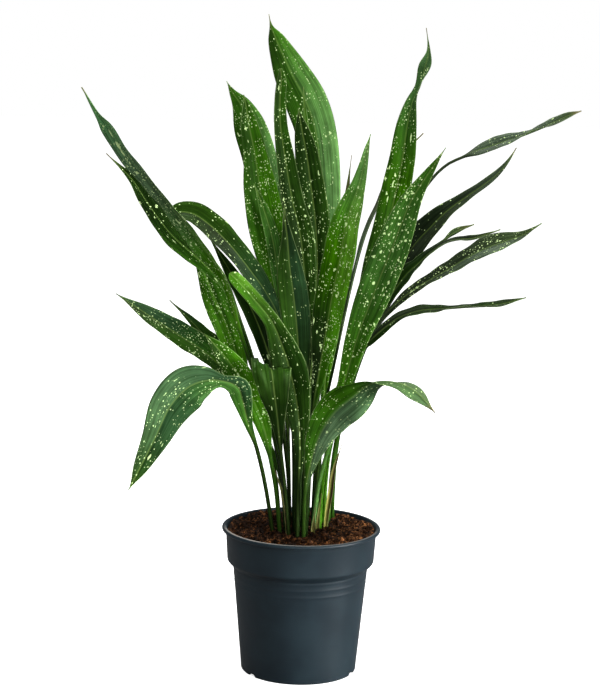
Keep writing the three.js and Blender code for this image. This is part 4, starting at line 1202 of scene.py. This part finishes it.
def margin_highlight_share(tree, across, place, opened, mottle):
    """How strongly a point shows the painted highlight along the margin, a pale line where the edge
    catches light. Its distance from the margin is the blade's half width there, which is the distance
    across divided by the place, less the distance across."""
    least_place = 0.01
    edge = calc(tree, "MAXIMUM", calc(tree, "ABSOLUTE", place), least_place)
    from_rib = calc(tree, "ABSOLUTE", across)
    from_margin = calc(tree, "SUBTRACT", calc(tree, "DIVIDE", from_rib, edge), from_rib)
    line = ramp(tree, from_margin, MARGIN_LINE, (MARGIN_COVER, 0))
    patches = ramp(tree, mottle, NOISE_NARROW, MARGIN_PATCHES)
    return times(tree, times(tree, line, ramp(tree, edge, MARGIN_PLACE)), times(tree, opened, patches))


def leaf_material(name, speckles, veins, roughness):
    """Leathery leaf: the painted tone, which holds painted shade and sheen, striped and mottled along
    the leaf, with a greyer underside, a pale midrib, a painted highlight along the margins, cream
    speckles, dashes, blotches and streaks, and a dry brown tip."""
    material, tree, shader = new_material(name)
    across, along, place = parts(tree, read(tree, "leaf_place", "Vector"))
    speckled, blotched, dried = parts(tree, read(tree, "leaf_marks", "Vector"))
    opened, under, streaks = parts(tree, read(tree, "leaf_details", "Vector"))
    lines = add(tree, "ShaderNodeGroup", {"Place": place, "Along": along}, node_tree=veins).outputs
    mottle = noise(tree, joined(tree, across, along), scale=55, detail=3, dimensions="2D")
    light = times(tree, ramp(tree, lines["Stripes"], (0, 1), STRIPE_LIGHT),
                  ramp(tree, mottle, NOISE_WIDE, MOTTLE_LIGHT))
    colour = lit(tree, read(tree, "leaf_tone", "Color"), light)
    colour = tint(tree, times(tree, under, UNDERSIDE_COVER), colour, UNDERSIDE)
    # Painted highlight: a pale line along the margins where the edge catches light
    colour = tint(tree, margin_highlight_share(tree, across, place, opened, mottle), colour, MARGIN_HIGHLIGHT)
    midrib = times(tree, ramp(tree, calc(tree, "ABSOLUTE", across), MIDRIB_LINE, (MIDRIB_COVER, 0)),
                   calc(tree, "MULTIPLY_ADD", opened, 1 - MIDRIB_ON_STALK, MIDRIB_ON_STALK))
    colour = tint(tree, midrib, colour, MIDRIB)

    def spots(density, kind):
        inputs = {"Across": across, "Along": along, "Density": density, **kind}
        return add(tree, "ShaderNodeGroup", inputs, node_tree=speckles).outputs["Mask"]

    marks = calc(tree, "MAXIMUM", spots(speckled, FINE), spots(times(tree, speckled, DASH_SHARE), DASHES))
    marks = calc(tree, "MAXIMUM", marks, spots(blotched, BLOTCHES))
    marks = calc(tree, "MAXIMUM", marks, ramp(tree, streaks, (0, STREAK_EDGE)))
    colour = tint(tree, times(tree, marks, SPECKLE_COVER), colour, SPECKLE)
    colour = tint(tree, times(tree, dried, DRY_COVER), colour, DRY_TIP)
    gloss = ramp(tree, lines["Stripes"], (0, 1), [roughness + change for change in STRIPE_ROUGHNESS])
    surface(tree, shader, colour, gloss, specular=0.1, height=lines["Height"], strength=0.4,
            depth=0.6 * MM)
    feed(tree, shader.inputs["Specular Tint"], LEAF_SHEEN)
    return material


def plastic_material():
    """Satin slate-grey plastic, with faint cloudiness, fine scuffs round it, a fine moulded grain, and
    a painted highlight: a light line at the rim's inner edge that shows at the front, more to the left."""
    material, tree, shader = new_material("slate_plastic")
    where = object_place(tree)
    x, y, z = parts(tree, where)
    clouds = noise(tree, where, scale=26, detail=3)
    grain = noise(tree, where, scale=1500, detail=2)
    flat = add(tree, "ShaderNodeMapping", {"Vector": where, "Scale": (60, 60, 1400)}).outputs[0]
    scuffs = noise(tree, flat, scale=1, detail=2)
    colour = tint(tree, ramp(tree, clouds, NOISE_NARROW), PLASTIC, PLASTIC_CLOUD)
    colour = tint(tree, ramp(tree, scuffs, SCUFF_NOISE, (0, SCUFF_COVER)), colour, SCUFF)
    # Painted highlight: a light line along the rim's inner edge, at the front and more to the left
    heights = [(POT_HEIGHT - under) * MM for under in RIM_HIGHLIGHT_UNDER_TOP]
    highlight_edge = RIM_RADIUS - RIM_BEVEL - RIM_TOP_WIDTH + RIM_HIGHLIGHT_WIDTH
    from_axis = distance(tree, joined(tree, x, y))
    highlight_share = times(tree, ramp(tree, z, heights),
                 ramp(tree, from_axis, (highlight_edge * MM, (highlight_edge + RIM_HIGHLIGHT_FADE) * MM), (1, 0)))
    highlight_share = times(tree, highlight_share, ramp(tree, y, RIM_HIGHLIGHT_TO_BACK, (1, 0)))
    highlight_share = times(tree, highlight_share, ramp(tree, x, RIM_HIGHLIGHT_TO_RIGHT, RIM_HIGHLIGHT_COVER))
    colour = tint(tree, highlight_share, colour, RIM_HIGHLIGHT)
    surface(tree, shader, colour, ramp(tree, clouds, NOISE_WIDE, PLASTIC_ROUGHNESS), specular=0.3,
            height=grain, strength=0.12, depth=0.2 * MM)
    return material


def peat_material(name, reads_grain):
    """Red-brown peat: dark and rusty crumbs mixed, quite dull, with painted shade among the stalks and
    painted light to the right, where light falls from that side. Loose pieces have a shade of their own
    besides."""
    material, tree, shader = new_material(name)
    where = object_place(tree)
    x, y = parts(tree, where)[:2]
    crumb = add(tree, "ShaderNodeTexVoronoi", {"Vector": where, "Scale": 620}).outputs["Color"]
    patch = noise(tree, where, scale=230, detail=5)
    # Painted shade among the stalks and painted light to the right
    light = times(tree, ramp(tree, distance(tree, joined(tree, x, y)), STALK_SHADE_SPAN, STALK_SHADE_LIGHT),
                  ramp(tree, x, RIGHT_LIGHT_SPAN, RIGHT_LIGHT_LEVELS))
    shade = add(tree, "ShaderNodeSeparateColor", {0: crumb}).outputs[0]
    if reads_grain:
        own_share = 0.7
        own = times(tree, read(tree, "grain_shade", "Fac"), own_share)
        shade = calc(tree, "MULTIPLY_ADD", shade, 1 - own_share, own)
    patch_share = 0.6
    both = calc(tree, "MULTIPLY_ADD", patch, patch_share, times(tree, shade, 1 - patch_share))
    colour = tint(tree, ramp(tree, both, BROWN_NOISE), PEAT_DARK, PEAT_BROWN)
    colour = tint(tree, ramp(tree, both, RUST_NOISE), colour, PEAT_RUST)
    surface(tree, shader, lit(tree, colour, light), roughness=0.92, specular=0.1, height=patch,
            strength=0.6, depth=0.8 * MM)
    return material


# Studio


def grey(level):
    """A grey of that brightness, from 0 to 1, as red, green, blue and alpha."""
    return (level, level, level, 1)


def make_floor():
    """A wide white floor, not part of the object: it glows except near the pot, where it only takes
    the pot's soft shadow, and is dim in reflections."""
    corners = [(x * FLOOR_HALF, y * FLOOR_HALF, 0) for x, y in ((-1, -1), (1, -1), (1, 1), (-1, 1))]
    floor = mesh_object("studio_floor", corners, [(0, 1, 2, 3)])
    material, tree, shader = new_material("studio_white")
    feed(tree, shader.inputs["Base Color"], grey(0.9))
    feed(tree, shader.inputs["Roughness"], 0.9)
    feed(tree, shader.inputs["Emission Color"], grey(1))
    glow = ramp(tree, distance(tree, object_place(tree)), FLOOR_SHADOW, FLOOR_GLOW)
    feed(tree, shader.inputs["Emission Strength"], glow)
    dim = add(tree, "ShaderNodeBsdfDiffuse", {"Color": grey(0.22)})
    seen = add(tree, "ShaderNodeLightPath").outputs["Is Camera Ray"]
    both = add(tree, "ShaderNodeMixShader", {0: seen, 1: dim.outputs[0], 2: shader.outputs[0]})
    feed(tree, tree.nodes["Material Output"].inputs["Surface"], both.outputs[0])
    floor.data.materials.append(material)


def add_light(name, place, aim, size, watts, spread, mirrored=True):
    """A square soft light, in metres, that looks from its place at its aim within a cone of spread
    degrees, and shows in reflections or not."""
    light = bpy.data.lights.new(name, "AREA")
    light.size = size
    light.energy = watts
    light.spread = math.radians(spread)
    lamp = in_scene(name, light)
    away = np.array(aim, float) - np.array(place, float)
    lamp.location = place
    lamp.visible_glossy = mirrored
    lamp.rotation_euler = (math.atan2(math.hypot(away[0], away[1]), -away[2]), 0,
                           math.atan2(-away[0], away[1]))


def make_studio():
    """White surroundings that give little light, and five soft lights: one at the right, a narrow one
    that gives the pot's right side its sheen, a weak low one that lifts the shade under its collar, one
    high at the front left, and one above and behind."""
    world = bpy.data.worlds.new("studio")
    bpy.context.scene.world = world
    world.use_nodes = True
    tree = world.node_tree
    seen = add(tree, "ShaderNodeLightPath").outputs["Is Camera Ray"]
    white = tree.nodes["Background"]
    feed(tree, white.inputs["Color"], grey(1))
    feed(tree, white.inputs["Strength"], ramp(tree, seen, (0, 1), (0.2, 1)))
    plant = (0, 0, 0.4)
    add_light("side_light", (1.7, -1.1, 0.8), plant, size=1.2, watts=13, spread=120)
    add_light("pot_light", (1.5, -0.7, 0.25), (0, 0, 0.06), size=0.8, watts=2.9, spread=26)
    add_light("low_light", (0.1, -1.7, 0.1), (0, 0, 0.1), size=0.8, watts=0.35, spread=24)
    add_light("front_light", (-0.5, -1.2, 2.3), plant, size=1.6, watts=38, spread=180, mirrored=False)
    add_light("top_light", (0, 0.8, 2.2), plant, size=1.6, watts=34, spread=180)
    make_floor()
    bpy.context.scene.view_settings.view_transform = "Standard"


def make_camera():
    """The photograph's view, slightly from above and a little rolled."""
    data = bpy.data.cameras.new("camera")
    data.sensor_fit = "VERTICAL"
    data.sensor_height = SENSOR
    data.sensor_width = SENSOR
    data.lens = FOCAL_PIXELS / PICTURE_HEIGHT * SENSOR
    data.shift_x = -AXIS_PIXELS / PICTURE_HEIGHT
    data.clip_end = FURTHEST_SEEN
    camera = in_scene("camera", data)
    camera.location = CAMERA_PLACE
    camera.rotation_euler = (math.radians(90 - CAMERA_PITCH), 0, 0)
    camera.rotation_euler.rotate_axis("Z", math.radians(CAMERA_ROLL))
    bpy.context.scene.camera = camera


make_camera()
make_studio()

speckles = speckle_group()
veins = vein_group()
foliage = leaf_material("speckled_leaf", speckles, veins, LEAF_ROUGHNESS)
husk = leaf_material("dry_sheath", speckles, veins, SHEATH_ROUGHNESS)

make_pot(plastic_material())
make_soil(peat_material("peat_bed", reads_grain=False))
loose = peat_material("peat_loose", reads_grain=True)
make_crumbs(loose)
make_fibres(loose)
for number, leaf in enumerate(LEAVES):
    make_leaf({**PLAIN_LEAF, **leaf}, number, foliage)
for number, sheath in enumerate(SHEATHS):
    make_leaf({**PLAIN_SHEATH, **sheath}, number, husk)
